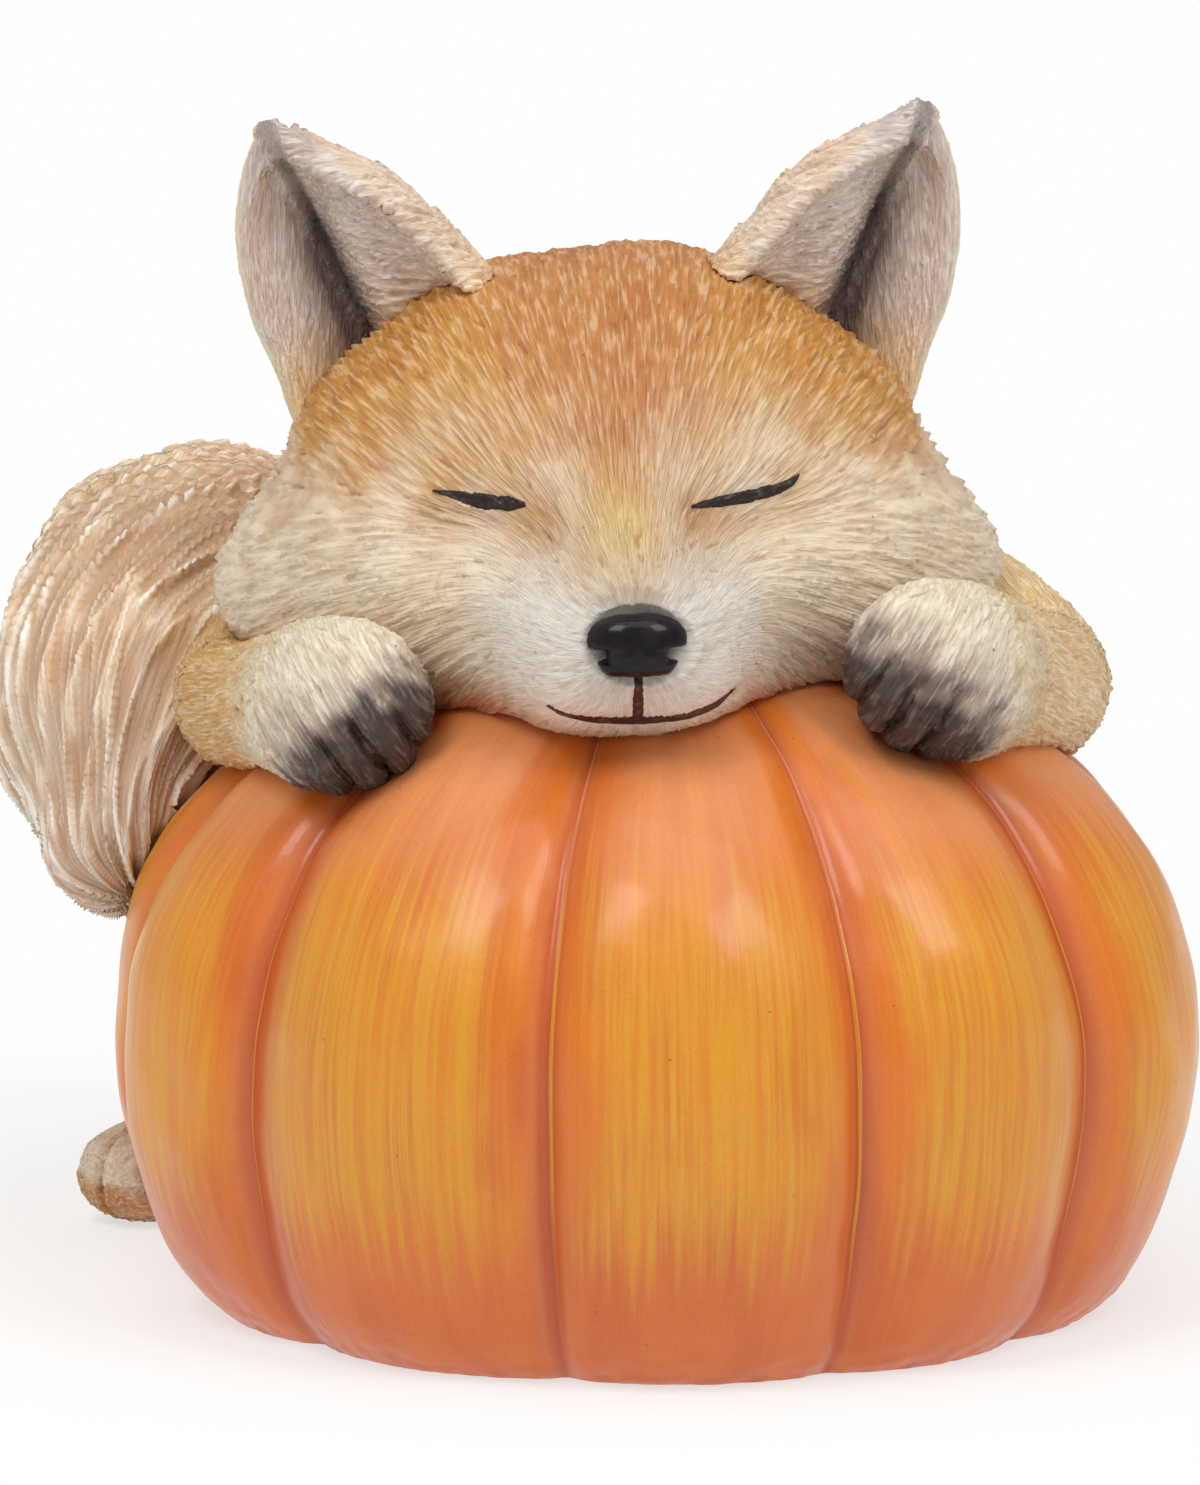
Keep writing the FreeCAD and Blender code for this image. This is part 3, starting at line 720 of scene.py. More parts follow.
def sculpt_head(points, normals):
    """Brows, lids, cheeks and muzzle raised or pressed in along the surface."""
    p = to_head(points)
    side = np.abs(p[:, 0])
    move = forms(p, HEAD_FORMS)
    # a low rim runs round the seat of the nose
    away = np.hypot((p[:, 0] - NOSE_MIDDLE[0]) / 4.9, (p[:, 2] - NOSE_MIDDLE[2]) / 3.4)
    move += 0.55 * np.exp(-((away - 1.17) / 0.11) ** 2) * (p[:, 1] < -34)
    # the mouth lies in a soft fold
    fold = -10.0 + 0.022 * (p[:, 0] - 0.8) ** 2
    in_mouth = smooth(11.5, 8.0, np.abs(p[:, 0] - 1.2)) * (p[:, 1] < -28)
    move -= 0.5 * np.exp(-((p[:, 2] - fold) / 0.7) ** 2) * in_mouth
    ledge = smooth(24, 34, side) * smooth(-8, -1, p[:, 2]) * (1 - smooth(6, 16, p[:, 2]))
    move += 0.8 * ledge
    return points + normals * move[:, None]


def fringe(points, normals):
    """Where the crown's fur stands up in front of the ears."""
    p = to_head(points)
    side = np.abs(p[:, 0])
    line = side * 0.92 + p[:, 2]
    return smooth(36, 40, line) * (1 - smooth(45, 50, line)) * smooth(10, 14, side) * (p[:, 1] < 4)


def make_head():
    """The head, with finer faces in front, carved fur and its paint."""
    obj = carved_base("fox_head", "head", 1.1, 6)
    points, normals = mesh_arrays(obj.data)
    set_points(obj, sculpt_head(points, normals))

    def front(centres, face_normals):
        p = to_head(centres)
        return (face_normals[:, 1] < 0.35) & (p[:, 1] < 9) & (centres[:, 2] > 59)

    refine(obj, front)
    points, normals = mesh_arrays(obj.data)
    set_points(obj, relaxed(obj, points, 0.5, 3))
    coat = Coat(obj, 11)

    def region(test):
        return lambda points, normals: test(to_head(points)).astype(float)

    def front_share(p):
        return smooth(-27, -34, p[:, 1]) * smooth(9, 3, p[:, 2])

    muzzle = region(front_share)
    face = region(lambda p: (1 - front_share(p)) * smooth(-10, -15, p[:, 1]))
    rest = region(lambda p: smooth(-15, -10, p[:, 1]))
    cheek = region(
        lambda p: (p[:, 2] < 8) & (np.abs(p[:, 0]) > 10) & (p[:, 1] < 6) & (p[:, 1] > -30)
    )
    coat.lay(head_flow, 0.80, 3.0, 0.62, 0.22, muzzle, steps=4, spread=0.20)
    coat.lay(head_flow, 1.10, 6.2, 1.05, 0.34, face, steps=7, spread=0.09, wave=0.08)
    coat.lay(head_flow, 1.30, 7.4, 1.30, 0.50, rest, steps=7, spread=0.10, wave=0.08)
    coat.lay(head_flow, 1.90, 8.0, 1.20, 0.78, cheek, steps=8, spread=0.10, wave=0.12, sharp=1.2)
    coat.lay(head_flow, 1.9, 5.2, 1.5, 0.95, fringe, steps=5, spread=0.10, tip=0.1)
    coat.finish(obj, 0.75, sink=0.30)
    comb(obj, head_comb(coat.points))
    paint_head(obj, coat)
    shade_smooth(obj)
    return obj


# Patches on the head, airbrushed colours and painted shade: ball or both, strength, middle and half sizes
WHITE_PATCHES = (
    (ball, 1.5, (0, -42, -5.5), (13, 13, 9.0)), (both, 0.9, (8.5, -34, -1), (6, 8, 6)),
)
CREAM_PATCHES = (
    (both, 0.95, (5.8, -28, 9.0), (3.2, 9, 8)), (ball, 0.45, (15.5, -18, 14.5), (8.5, 9, 5.5)),
    (ball, 0.35, (-16, -16, 16), (7, 9, 4)),
)
BRIDGE_PATCHES = ((ball, 1.4, (0, -33, 6.5), (3.6, 9, 7.0)),)
# Painted shade low on the cheeks and on the sides of the head, where they turn away from the light
CHEEK_SHADE_PATCHES = (
    (ball, 1.1, (20, -26, -6), (9, 9, 5)), (ball, 0.5, (31, -8, -2), (9, 12, 8)),
    (ball, 0.45, (-30, -8, 0), (8, 12, 9)),
)
RUST_PATCHES = (
    (ball, 1.7, (-16, -24, -10.8), (9, 9, 2.8)), (ball, 0.9, (14, -26, -10.5), (7, 9, 2.0)),
    (ball, 0.8, (0, -33, -13.5), (12, 9, 1.6)),
)
# Painted shade in the hollows at the inner corners of the eyes and below the lids
SOCKET_SHADE_PATCHES = (
    (both, 1.1, (7.6, -27, 8.6), (2.6, 8, 2.8)), (both, 0.5, (13, -22, 7.4), (7, 8, 1.5)),
)


def paint_head(obj, coat):
    """The masks of the airbrushed colours and of the painted shade, in the head's own frame, and the paint.
    """
    p = to_head(coat.points)
    rough = Noise(3, 9.0)(coat.points)
    side = np.abs(p[:, 0])
    z = p[:, 2] + rough * 1.2
    mask(obj, "white", forms(p, WHITE_PATCHES))
    mask(obj, "cream", (1 - smooth(4, 17, z)) * smooth(4, 14, side) + forms(p, CREAM_PATCHES))
    upwards = np.clip(z - 8, 0, 30)
    crown = 1 - smooth(3.2 + 0.20 * upwards, 9.5 + 0.32 * upwards, side + rough)
    mask(obj, "crown", crown * smooth(6, 15, z), 0.60)
    mask(obj, "bridge", forms(p, BRIDGE_PATCHES), 0.85)
    # grey painted shade low on the cheeks and the head's sides
    mask(obj, "grey", forms(p, CHEEK_SHADE_PATCHES), 0.55)
    between_ears = 0.8 * smooth(26, 36, p[:, 2]) * smooth(8, 14, side)
    mask(obj, "rust", forms(p, RUST_PATCHES) + between_ears, 0.85)
    # ochre painted shade in the eye hollows
    mask(obj, "socket", forms(p, SOCKET_SHADE_PATCHES), 0.8)
    obj.data.materials.append(fur_paint(
        "fox head paint",
        [
            ((208, 150, 72), None), ((198, 130, 82), "crown"), ((242, 226, 204), "cream"),
            ((236, 200, 128), "bridge"), ((178, 160, 148), "grey"), ((202, 120, 50), "rust"),
            ((206, 150, 84), "socket"), ((252, 246, 240), "white"),
        ],
        groove=(184, 132, 88), crest=(255, 244, 220), crest_amount=0.24, groove_amount=0.80,
        spare="white", shade=(237, 235, 230),
    ))


# Ears

def make_ear(name, node, sign):
    """An ear with its folded scoop, tufted inner side and paint."""
    obj = carved_base(name, node, 0.55, 5)
    points, normals = mesh_arrays(obj.data)
    lean = math.radians(EAR_LEAN) * sign
    axis = np.array([math.sin(lean), 0.0, math.cos(lean)])
    across = np.array([math.cos(lean), 0.0, -math.sin(lean)]) * sign
    foot = np.array([EAR_SPREAD * sign, EAR_SETBACK, EAR_RISE])

    def own(points):
        """x towards the ear's outer edge, y back, z from root to tip."""
        q = to_head(points) - foot
        return np.stack([q @ across, q[:, 1], q @ axis], 1)

    def flow(points, normals):
        q = own(points)
        inside = smooth(-0.1, 0.5, -normals[:, 1])
        up = np.tile(axis, (len(points), 1))
        out = np.tile(across, (len(points), 1))
        inner = (q[:, 0] < 1.0)[:, None]
        tuft = up * 0.45 + out * np.where(inner, 1.0, -0.25)
        direction = tuft * inside[:, None] + up * (1 - inside[:, None])
        return direction @ HEAD_AXES.T

    q = own(points)
    facing = smooth(0.0, 0.5, -normals[:, 1])
    groove_x = 1.1 - 0.03 * q[:, 2]
    groove = np.exp(-((q[:, 0] - groove_x) / 1.6) ** 2) * smooth(22, 15, q[:, 2])
    points = points - normals * (1.6 * groove * facing)[:, None]
    pad = np.exp(-((q[:, 0] - groove_x + 3.8) / 2.4) ** 2) * smooth(20, 12, q[:, 2])
    points = points + normals * (1.4 * pad * facing)[:, None]
    widen = 0.7 * smooth(2, 11, q[:, 0]) * smooth(3, 10, q[:, 2])
    widen -= 1.0 * smooth(-1, -7, q[:, 0]) * np.exp(-((q[:, 2] - 13) / 10) ** 2)
    points = points + (HEAD_AXES @ across) * widen[:, None]
    hang = 3.2 * smooth(4, 12, q[:, 0]) * smooth(9, 0, q[:, 2])
    points = points - (HEAD_AXES @ (axis + 0.25 * across)) * hang[:, None]
    set_points(obj, points)
    coat = Coat(obj, 31 if sign < 0 else 37)

    def inner_side(points, normals):
        q = own(points)
        return ((normals[:, 1] < -0.1) & (q[:, 0] < 2.0)).astype(float)

    def elsewhere(points, normals):
        return 1 - inner_side(points, normals)

    coat.lay(flow, 0.8, 2.6, 0.5, 0.16, elsewhere, steps=4, spread=0.25)
    coat.lay(flow, 1.0, 5.2, 1.0, 0.75, inner_side, steps=5, spread=0.22, tip=0.2)
    coat.finish(obj, 0.6, sink=0.3)
    q = own(coat.points)
    outer = smooth(0, 2, q[:, 0])[:, None]
    inner_way, outer_way = unit(np.array([[1.0, 0, 0.45], [-0.25, 0, 0.45]]))
    comb(obj, straight_comb(q, inner_way) * (1 - outer) + straight_comb(q, outer_way) * outer)
    facing = smooth(-0.25, 0.15, -coat.normals[:, 1])
    edge = np.clip(np.abs(q[:, 0]) / (13.3 * (1 - 0.035 * np.clip(q[:, 2], 0, 26))), 0, 1.2)
    attribute(obj, "inside", facing)
    groove_x = 1.1 - 0.03 * q[:, 2]
    narrow = 1 - 0.028 * np.clip(q[:, 2], 0, 24)
    dark = np.exp(-(((q[:, 0] - groove_x) / (np.where(q[:, 0] > groove_x, 5.0, 1.7) * narrow)) ** 2))
    dark *= smooth(25, 11, q[:, 2]) * facing * 1.25
    mask(obj, "dark", dark, 0.95)
    sideways = smooth(-0.55, 0.1, coat.normals[:, 1] + 0.2)
    attribute(obj, "rim", smooth(0.80, 0.97, edge) * sideways * (q[:, 0] > 0))
    base = smooth(8, -1, q[:, 2]) * 0.9 + smooth(0.75, 1.0, edge) * (q[:, 0] < 0) * 0.3
    mask(obj, "base", base)
    attribute(obj, "tip", smooth(17, 25, q[:, 2]) * 0.7)
    obj.data.materials.append(fur_paint(
        name + " paint",
        [
            ((222, 172, 116), None), ((214, 198, 190), "inside"), ((186, 176, 178), "tip"),
            ((238, 204, 154), "base"), ((78, 60, 62), "dark"), ((240, 224, 194), "rim"),
        ],
        groove=(186, 160, 144), crest=(252, 246, 238), crest_amount=0.35, groove_amount=0.50,
        seed=3.1 + sign, calm="dark", shade=(250, 248, 244),
    ))
    shade_smooth(obj)
    return obj


# Forelegs and hind legs

def polyline_flow(path):
    """The direction of the nearest stretch of a path, in mm."""
    path = np.array(path, float)

    def flow(points, normals):
        best = np.full(len(points), 1e9)
        direction = np.zeros_like(points)
        for start, end in zip(path, path[1:]):
            along = end - start
            share = np.clip((points - start) @ along / (along @ along), 0, 1)
            gap = np.sum((points - start - share[:, None] * along) ** 2, 1)
            nearer = gap < best
            best[nearer] = gap[nearer]
            direction[nearer] = along / np.linalg.norm(along)
        return direction

    return flow


def make_foreleg(name, node, sign, elbow_z, paw_z, seed):
    """A foreleg with grooves between its toes, carved fur and its paint."""
    obj = carved_base(name, node, 0.62, 8)
    shoulder_z = elbow_z + 3.5
    wrist_z = (elbow_z + paw_z) / 2
    path = [
        (FORELEG_MIDDLE_X + sign * reach, y, z)
        for reach, y, z in (
            (29.3, 22.0, shoulder_z), (39.7, 2.0, elbow_z), (35.1, -11.4, wrist_z), (28.0, -24.8, paw_z),
        )
    ]
    paw = np.array(path[-1])
    # the toes point down and in, towards the middle of the pumpkin
    ahead = unit(np.array([-0.52 * sign, -0.25, -0.80]))
    beside = unit(np.cross(ahead, np.array([0.0, -1.0, 0.0])))

    def toe_grooves(points, normals):
        q = points - paw
        reach, over = q @ ahead, q @ beside
        front = smooth(0.35, -0.35, normals[:, 1]) * smooth(0.5, 3.5, reach)
        lines = sum(np.exp(-((over - place) / 0.55) ** 2) for place in (-3.6, 0.2, 3.9))
        return front, np.clip(lines, 0, 1)

    points, normals = mesh_arrays(obj.data)
    front, lines = toe_grooves(points, normals)
    points = points + normals * (front * (0.4 - 1.1 * lines))[:, None]
    set_points(obj, points)
    coat = Coat(obj, seed)
    path_flow = polyline_flow(path)

    def flow(points, normals):
        near = smooth(15, 6, np.linalg.norm(points - paw, axis=1))[:, None]
        return path_flow(points, normals) * (1 - near) + ahead * near

    coat.lay(flow, 1.05, 4.6, 0.95, 0.40, steps=5, spread=0.18)
    coat.lay(flow, 1.9, 6.0, 1.25, 0.66, steps=6, spread=0.18, sharp=1.2)
    coat.finish(obj, 0.5, sink=0.4)
    q = coat.points - paw
    far = np.linalg.norm(q, axis=1)
    along, angle = round_path(coat.points, path)
    ringed = np.stack([9 * np.cos(angle), 9 * np.sin(angle), 0.12 * along], 1)
    over_paw = 0.12 * q + 0.88 * (q @ beside)[:, None] * beside
    near = smooth(15, 9, far)[:, None]
    comb(obj, ringed * (1 - near) + over_paw * near)
    rough = Noise(seed, 4.0)(coat.points)
    reach = q @ ahead + rough * 0.9
    seen = smooth(0.5, -0.2, coat.normals[:, 1])
    amber = smooth(10, 19, far + rough * 1.5)
    attribute(obj, "orange", amber * (0.80 if sign < 0 else 0.25 + 0.45 * smooth(4, 9, q[:, 2])))
    attribute(obj, "pale", smooth(14, 8, far + rough) * 0.85)
    attribute(obj, "grey", smooth(-4.5, 1.5, reach) * smooth(11, 8.5, far) * 0.75)
    attribute(obj, "toes", smooth(-0.8, 4.0, reach) * smooth(12, 9.5, far) * seen * 0.95)
    obj.data.materials.append(fur_paint(
        name + " paint",
        [
            ((240, 214, 170), None), ((224, 172, 100), "orange"), ((240, 230, 214), "pale"),
            ((168, 150, 146), "grey"), ((62, 46, 48), "toes"),
        ],
        groove=(172, 126, 86), crest=(252, 246, 230), crest_amount=0.4, groove_amount=0.75,
        seed=seed * 0.31, calm="toes", shade=(240, 238, 232),
    ))
    shade_smooth(obj)
    return obj


def make_hind_leg(name, node, sign, splay, seed):
    """A haunch and its foot, with toes pressed in at the end, carved fur and its paint."""
    obj = carved_base(name, node, 0.9, 6)
    turn = math.radians(splay)
    heel = np.array([FOX_MIDDLE_X + sign * HEEL_SPREAD, HEEL_Y, HEEL_HEIGHT])
    along = np.array([sign * math.cos(turn), -math.sin(turn), 0])
    side = np.array([-along[1], along[0], 0])
    points, normals = mesh_arrays(obj.data)
    q = points - heel
    reach = q @ along
    over = q @ side
    toe = np.abs(np.sin(over / 7.5 * math.pi * 1.5))
    front = smooth(24, 30, reach) * (points[:, 2] > 1.0)
    points = points - normals * (1.0 * front * (1 - smooth(0.0, 0.5, toe)))[:, None]
    set_points(obj, points)
    coat = Coat(obj, seed)

    def flow(points, normals):
        reach = (points - heel) @ along
        foot = smooth(6, 14, reach) * smooth(16, 10, points[:, 2])
        down = np.array([sign * 0.3, -0.25, -1.0])
        return down[None, :] * (1 - foot[:, None]) + along[None, :] * foot[:, None]

    coat.lay(flow, 1.1, 4.2, 0.95, 0.45, steps=5, spread=0.2, wave=0.1)
    coat.finish(obj, 0.45, sink=0.45)
    above_floor_shadow = smooth(0.4, 1.6, coat.points[:, 2])
    reach = (coat.points - heel) @ along
    foot = (smooth(6, 14, reach) * smooth(16, 10, coat.points[:, 2]))[:, None]
    down = unit(np.array([sign * 0.3, -0.25, -1.0]))
    haunch_comb = straight_comb(coat.points - heel, down)
    comb(obj, haunch_comb * (1 - foot) + straight_comb(coat.points - heel, along) * foot)
    rough = Noise(seed, 6.0)(coat.points)
    height = coat.points[:, 2] + rough
    attribute(obj, "pale", smooth(10, 20, reach + rough) * smooth(2.5, 5, height) * 0.85)
    attribute(obj, "toes", smooth(34, 41, reach + 0.6 * rough - 0.9 * (height - 5)) * 0.85)
    # painted shadow: a dark band along the foot where it meets the floor
    attribute(obj, "under", (1 - above_floor_shadow) * 0.7)
    obj.data.materials.append(fur_paint(
        name + " paint",
        [
            ((222, 160, 96), None), ((240, 228, 212), "pale"), ((118, 88, 78), "toes"),
            ((70, 56, 52), "under"),
        ],
        groove=(184, 136, 98), crest=(250, 236, 214), crest_amount=0.35, groove_amount=0.7,
        seed=seed * 0.23,
        calm="toes",
    ))
    flatten(obj)
    shade_smooth(obj)
    return obj


def flatten(obj):
    """Keeps the carving from reaching under the resting plane."""
    points, _ = mesh_arrays(obj.data)
    points[:, 2] = np.maximum(points[:, 2], 0.0)
    set_points(obj, points)


# Torso and tail

def make_torso():
    """The rump, back and shoulders, with fur that lies down the spine."""
    obj = carved_base("fox_torso", "torso", 1.1, 6)
    base_flow = polyline_flow([(FOX_MIDDLE_X, y, z) for y, z in SPINE])

    def flow(points, normals):
        direction = base_flow(points, normals)
        direction[:, 0] += 0.02 * (points[:, 0] - FOX_MIDDLE_X)
        return direction

    coat = Coat(obj, 51)
    coat.lay(flow, 1.3, 6.0, 1.3, 0.6, steps=6, spread=0.18, wave=0.12)
    coat.lay(flow, 2.6, 8.5, 1.7, 0.9, steps=7, spread=0.16, wave=0.15, sharp=1.3)
    coat.finish(obj, 0.8, sink=0.4)
    comb(obj, straight_comb(coat.points, unit(np.array([0.0, 0.35, -0.94]))))
    rough = Noise(51, 11.0)(coat.points)
    side = np.abs(coat.points[:, 0] - FOX_MIDDLE_X)
    attribute(obj, "saddle", smooth(22, 6, side + rough * 3) * 0.8)
    attribute(obj, "under", smooth(14, 2, coat.points[:, 2] + rough * 2) * 0.7)
    obj.data.materials.append(fur_paint(
        "fox body paint",
        [((224, 164, 98), None), ((210, 138, 84), "saddle"), ((232, 206, 160), "under")],
        groove=(184, 132, 92), crest=(250, 230, 196), crest_amount=0.4, groove_amount=0.85,
        seed=7.7, fineness=1.6,
    ))
    flatten(obj)
    shade_smooth(obj)
    return obj


TAIL_PATH = [
    (-10.2, 63.0, 26.7), (-24.5, 64.0, 43.2), (-38.8, 53.2, 61.0), (-47.9, 38.5, 63.5),
    (-52.0, 26.7, 57.2), (-53.5, 18.9, 51.0), (-54.0, 14.0, 45.7), (-53.0, 11.5, 40.0),
]


def round_path(points, path, count=90):
    """How far along a smooth path each point lies, in mm, and its angle round the path."""
    path = np.array(path, float)
    shares = np.linspace(0, 1, len(path))
    walk = np.linspace(0, 1, count)
    line = np.stack([np.interp(walk, shares, path[:, k]) for k in range(3)], 1)
    for _ in range(40):
        line[1:-1] = (line[:-2] + 2 * line[1:-1] + line[2:]) / 4
    ahead = unit(np.gradient(line, axis=0))
    reach = np.concatenate([[0], np.cumsum(np.linalg.norm(np.diff(line, axis=0), axis=1))])
    nearest = np.zeros(len(points), int)
    best = np.full(len(points), 1e9)
    for number, place in enumerate(line):
        gap = np.sum((points - place) ** 2, 1)
        nearer = gap < best
        best[nearer] = gap[nearer]
        nearest[nearer] = number
    offset = points - line[nearest]
    along = reach[nearest] + np.sum(offset * ahead[nearest], 1)
    side = unit(np.array([0.0, 1.0, 0.0]) - ahead * ahead[:, 1:2])[nearest]
    third = np.cross(ahead[nearest], side)
    return along, np.arctan2(np.sum(offset * third, 1), np.sum(offset * side, 1))


def make_tail():
    """The tail, carved in long locks with finer hairs on them, and its paint."""
    obj = carved_base("fox_tail", "tail", 1.1, 8)

    def front(centres, normals):
        return (normals[:, 1] < 0.35) & (centres[:, 0] < -30) & (centres[:, 2] > 30)

    refine(obj, front)
    points, normals = mesh_arrays(obj.data)
    set_points(obj, relaxed(obj, points, 0.5, 3))
    coat = Coat(obj, 61)
    along, angle = round_path(coat.points, TAIL_PATH)
    ring = np.stack([np.cos(angle), np.sin(angle)], 1) * 14.0
    locks = np.concatenate([ring / 5.2, along[:, None] / 30], 1)
    hairs = np.concatenate([ring / 2.1, along[:, None] / 17], 1)
    lock = np.clip(1 - np.abs(Noise(62, 1.0)(locks)) / 0.95, 0, 1) ** 1.25
    hair = np.clip(1 - np.abs(Noise(63, 1.0)(hairs)) / 0.95, 0, 1) ** 1.2
    shown = 0.45 + 0.55 * smooth(-33, -42, coat.points[:, 0])
    coat.rise = 1.05 * lock * shown + 0.36 * hair
    coat.level = np.clip(0.75 * lock + 0.35 * hair, 0, 1)
    coat.ridge = np.clip(0.78 * lock ** 1.5 + 0.35 * hair, 0, 1)
    coat.tone = np.clip(0.5 + 0.3 * Noise(64, 1.0)(hairs), 0, 1)
    coat.finish(obj, 1.2, sink=0.45)
    comb(obj, np.concatenate([ring, 0.10 * along[:, None]], 1))
    p = coat.points
    rough = Noise(61, 10.0)(p)
    attribute(obj, "white", smooth(64, 44, p[:, 2] + (p[:, 0] + 50) * 0.5 + rough * 2) * 0.85)
    root = smooth(-46, -38, p[:, 0]) * smooth(78, 66, p[:, 2]) * 0.9
    mask(obj, "orange", root + smooth(-36, -26, p[:, 0]) * 0.8)
    mask(obj, "blush", smooth(0.3, 1.1, rough), 0.5)
    obj.data.materials.append(fur_paint(
        "fox tail paint",
        [
            ((230, 206, 174), None), ((240, 230, 216), "white"), ((226, 174, 112), "orange"),
            ((226, 190, 158), "blush"),
        ],
        groove=(190, 150, 112), crest=(255, 252, 246), crest_amount=0.9, groove_amount=0.9, seed=9.2,
        shade=(252, 250, 248), fineness=1.9, gap_amount=0.6,
    ))
    shade_smooth(obj)
    return obj


# Nose, lash lines and mouth

# The nose pad's outline: degrees up from the side, and mm from the pad's middle
NOSE_OUTLINE = (
    (-90, 3.45), (-66, 3.76), (-48, 4.46), (-33, 4.41), (-17, 4.35), (-6, 4.78),
    (7, 4.94), (19, 4.96), (34, 4.69), (51, 4.12), (71, 3.60), (90, 3.40),
)


def nose_points(rays, rings):
    """Rows of points from the middle of the pad to its rim, and a last one behind it."""
    angles = np.radians([angle for angle, _ in NOSE_OUTLINE])
    reaches = np.array([reach for _, reach in NOSE_OUTLINE])
    points = []
    for ring in range(rings + 1):
        share = ring / rings
        size = math.sin(share * math.pi / 2) ** 0.8
        dome = math.cos(share * math.pi / 2) ** 0.55
        for ray in range(rays):
            turn = 2 * math.pi * ray / rays
            x, z = math.cos(turn), math.sin(turn)
            reach = float(np.interp(math.atan2(z, abs(x)), angles, reaches))
            across, high = x * reach * size, z * reach * size * (0.81 if z > 0 else 0.87)
            nostril = math.exp(-(((high + 0.95) / 0.58) ** 4))
            nostril *= float(smooth(2.5, 3.1, abs(across)))
            points.append((across, -2.6 * dome + 3.0 * nostril, high))
    for x, _, z in points[-rays:]:
        points.append((x * 0.97, 2.4, z * 0.97))
    return points


def make_nose():
    """A domed pad with rounded lobes and a slit nostril each side."""
    rays, rings = 168, 26
    points = nose_points(rays, rings)
    faces = net_faces(rings + 2, rays)
    points = np.array(points)
    # the pad leans back at the top, and a soft furrow runs down its middle
    points[:, 1] += 0.14 * points[:, 2] + 0.045 * points[:, 0] ** 2
    furrow = np.exp(-((points[:, 0] / 0.5) ** 2)) * smooth(0.5, -2.5, points[:, 2])
    points[:, 1] += 0.25 * furrow * (points[:, 1] < 1.5)
    points += NOSE_MIDDLE
    obj = new_piece("fox_nose", from_head(points), faces)
    weld = obj.modifiers.new("weld", "WELD")
    weld.merge_threshold = 0.00002
    applied(obj)
    shade_smooth(obj)
    paint = Paint("nose gloss")
    patch = paint.noise((0.5, 0.5, 0.5), detail=3.0)
    base = paint.mix(paint.step(patch, 0.35, 0.7), paint.colour((12, 8, 12)), paint.colour((30, 22, 28)))
    paint.bump(paint.noise((1.6, 1.6, 1.6), detail=2.0), 0.05, 0.5)
    obj.data.materials.append(paint.done(base, 0.30, coat=0.28, coat_roughness=0.10, specular=0.12))
    return obj


def painted_stroke(tree, path, widths, thickness, seed):
    """A raised line of paint that follows a surface along a path given in the head's frame."""
    rng = np.random.default_rng(seed)
    steps = 60
    path = np.array(path, float)
    shares = np.linspace(0, 1, len(path))
    along = np.linspace(0, 1, steps)
    smooth_path = np.stack([np.interp(along, shares, path[:, k]) for k in range(2)], 1)
    for _ in range(6):
        smooth_path[1:-1] = (smooth_path[:-2] + 2 * smooth_path[1:-1] + smooth_path[2:]) / 4
    width = np.interp(along, np.linspace(0, 1, len(widths)), widths)
    ragged = np.convolve(rng.normal(0, 1, steps + 4), np.ones(5) / 5, "valid") * 0.16
    width = width * (1 + ragged)
    tangent = unit(np.gradient(smooth_path, axis=0))
    side = np.stack([-tangent[:, 1], tangent[:, 0]], 1)
    lanes = 9
    points = []
    back = Vector(HEAD_AXES @ np.array([0.0, 1.0, 0.0]))
    for number in range(steps):
        for lane in range(lanes):
            t = -1 + 2 * lane / (lanes - 1)
            x, z = smooth_path[number] + side[number] * (width[number] / 2 * t)
            start = Vector(from_head(np.array([x, -70.0, z])) * MM)
            hit, normal, _, _ = tree.ray_cast(start, back)
            if hit is None:
                hit = Vector(from_head(np.array([x, -30.0, z])) * MM)
                normal = -back
            lift = thickness * (1 - t * t) ** 0.5 - 0.12
            points.append((np.array(hit) / MM + np.array(normal) * lift).tolist())
    faces = []
    for number in range(steps - 1):
        for lane in range(lanes - 1):
            a = number * lanes + lane
            faces.append((a, a + 1, a + lanes + 1, a + lanes))
    return np.array(points), faces


def joined(name, parts):
    """One object from several strokes, with its faces turned to the front."""
    points, faces, shift = [], [], 0
    for part_points, part_faces in parts:
        points.append(part_points)
        faces += [tuple(corner + shift for corner in face) for face in part_faces]
        shift += len(part_points)
    obj = new_piece(name, np.concatenate(points), faces)
    bm = bmesh.new()
    bm.from_mesh(obj.data)
    bmesh.ops.recalc_face_normals(bm, faces=bm.faces)
    bm.to_mesh(obj.data)
    bm.free()
    outward = sum(poly.normal.y * poly.area for poly in obj.data.polygons)
    if outward > 0:
        obj.data.flip_normals()
    return obj


def line_material(name, dark, light):
    """Dark paint with worn, lighter spots."""
    paint = Paint(name)
    patch = paint.noise((1.2, 1.2, 1.2), detail=4.0)
    base = paint.mix(paint.step(patch, 0.5, 0.75), paint.colour(dark), paint.colour(light))
    paint.bump(paint.noise((3.0, 3.0, 3.0), detail=2.0), 0.06, 0.6)
    return paint.done(base, 0.42, coat=0.15, coat_roughness=0.2, specular=0.3)


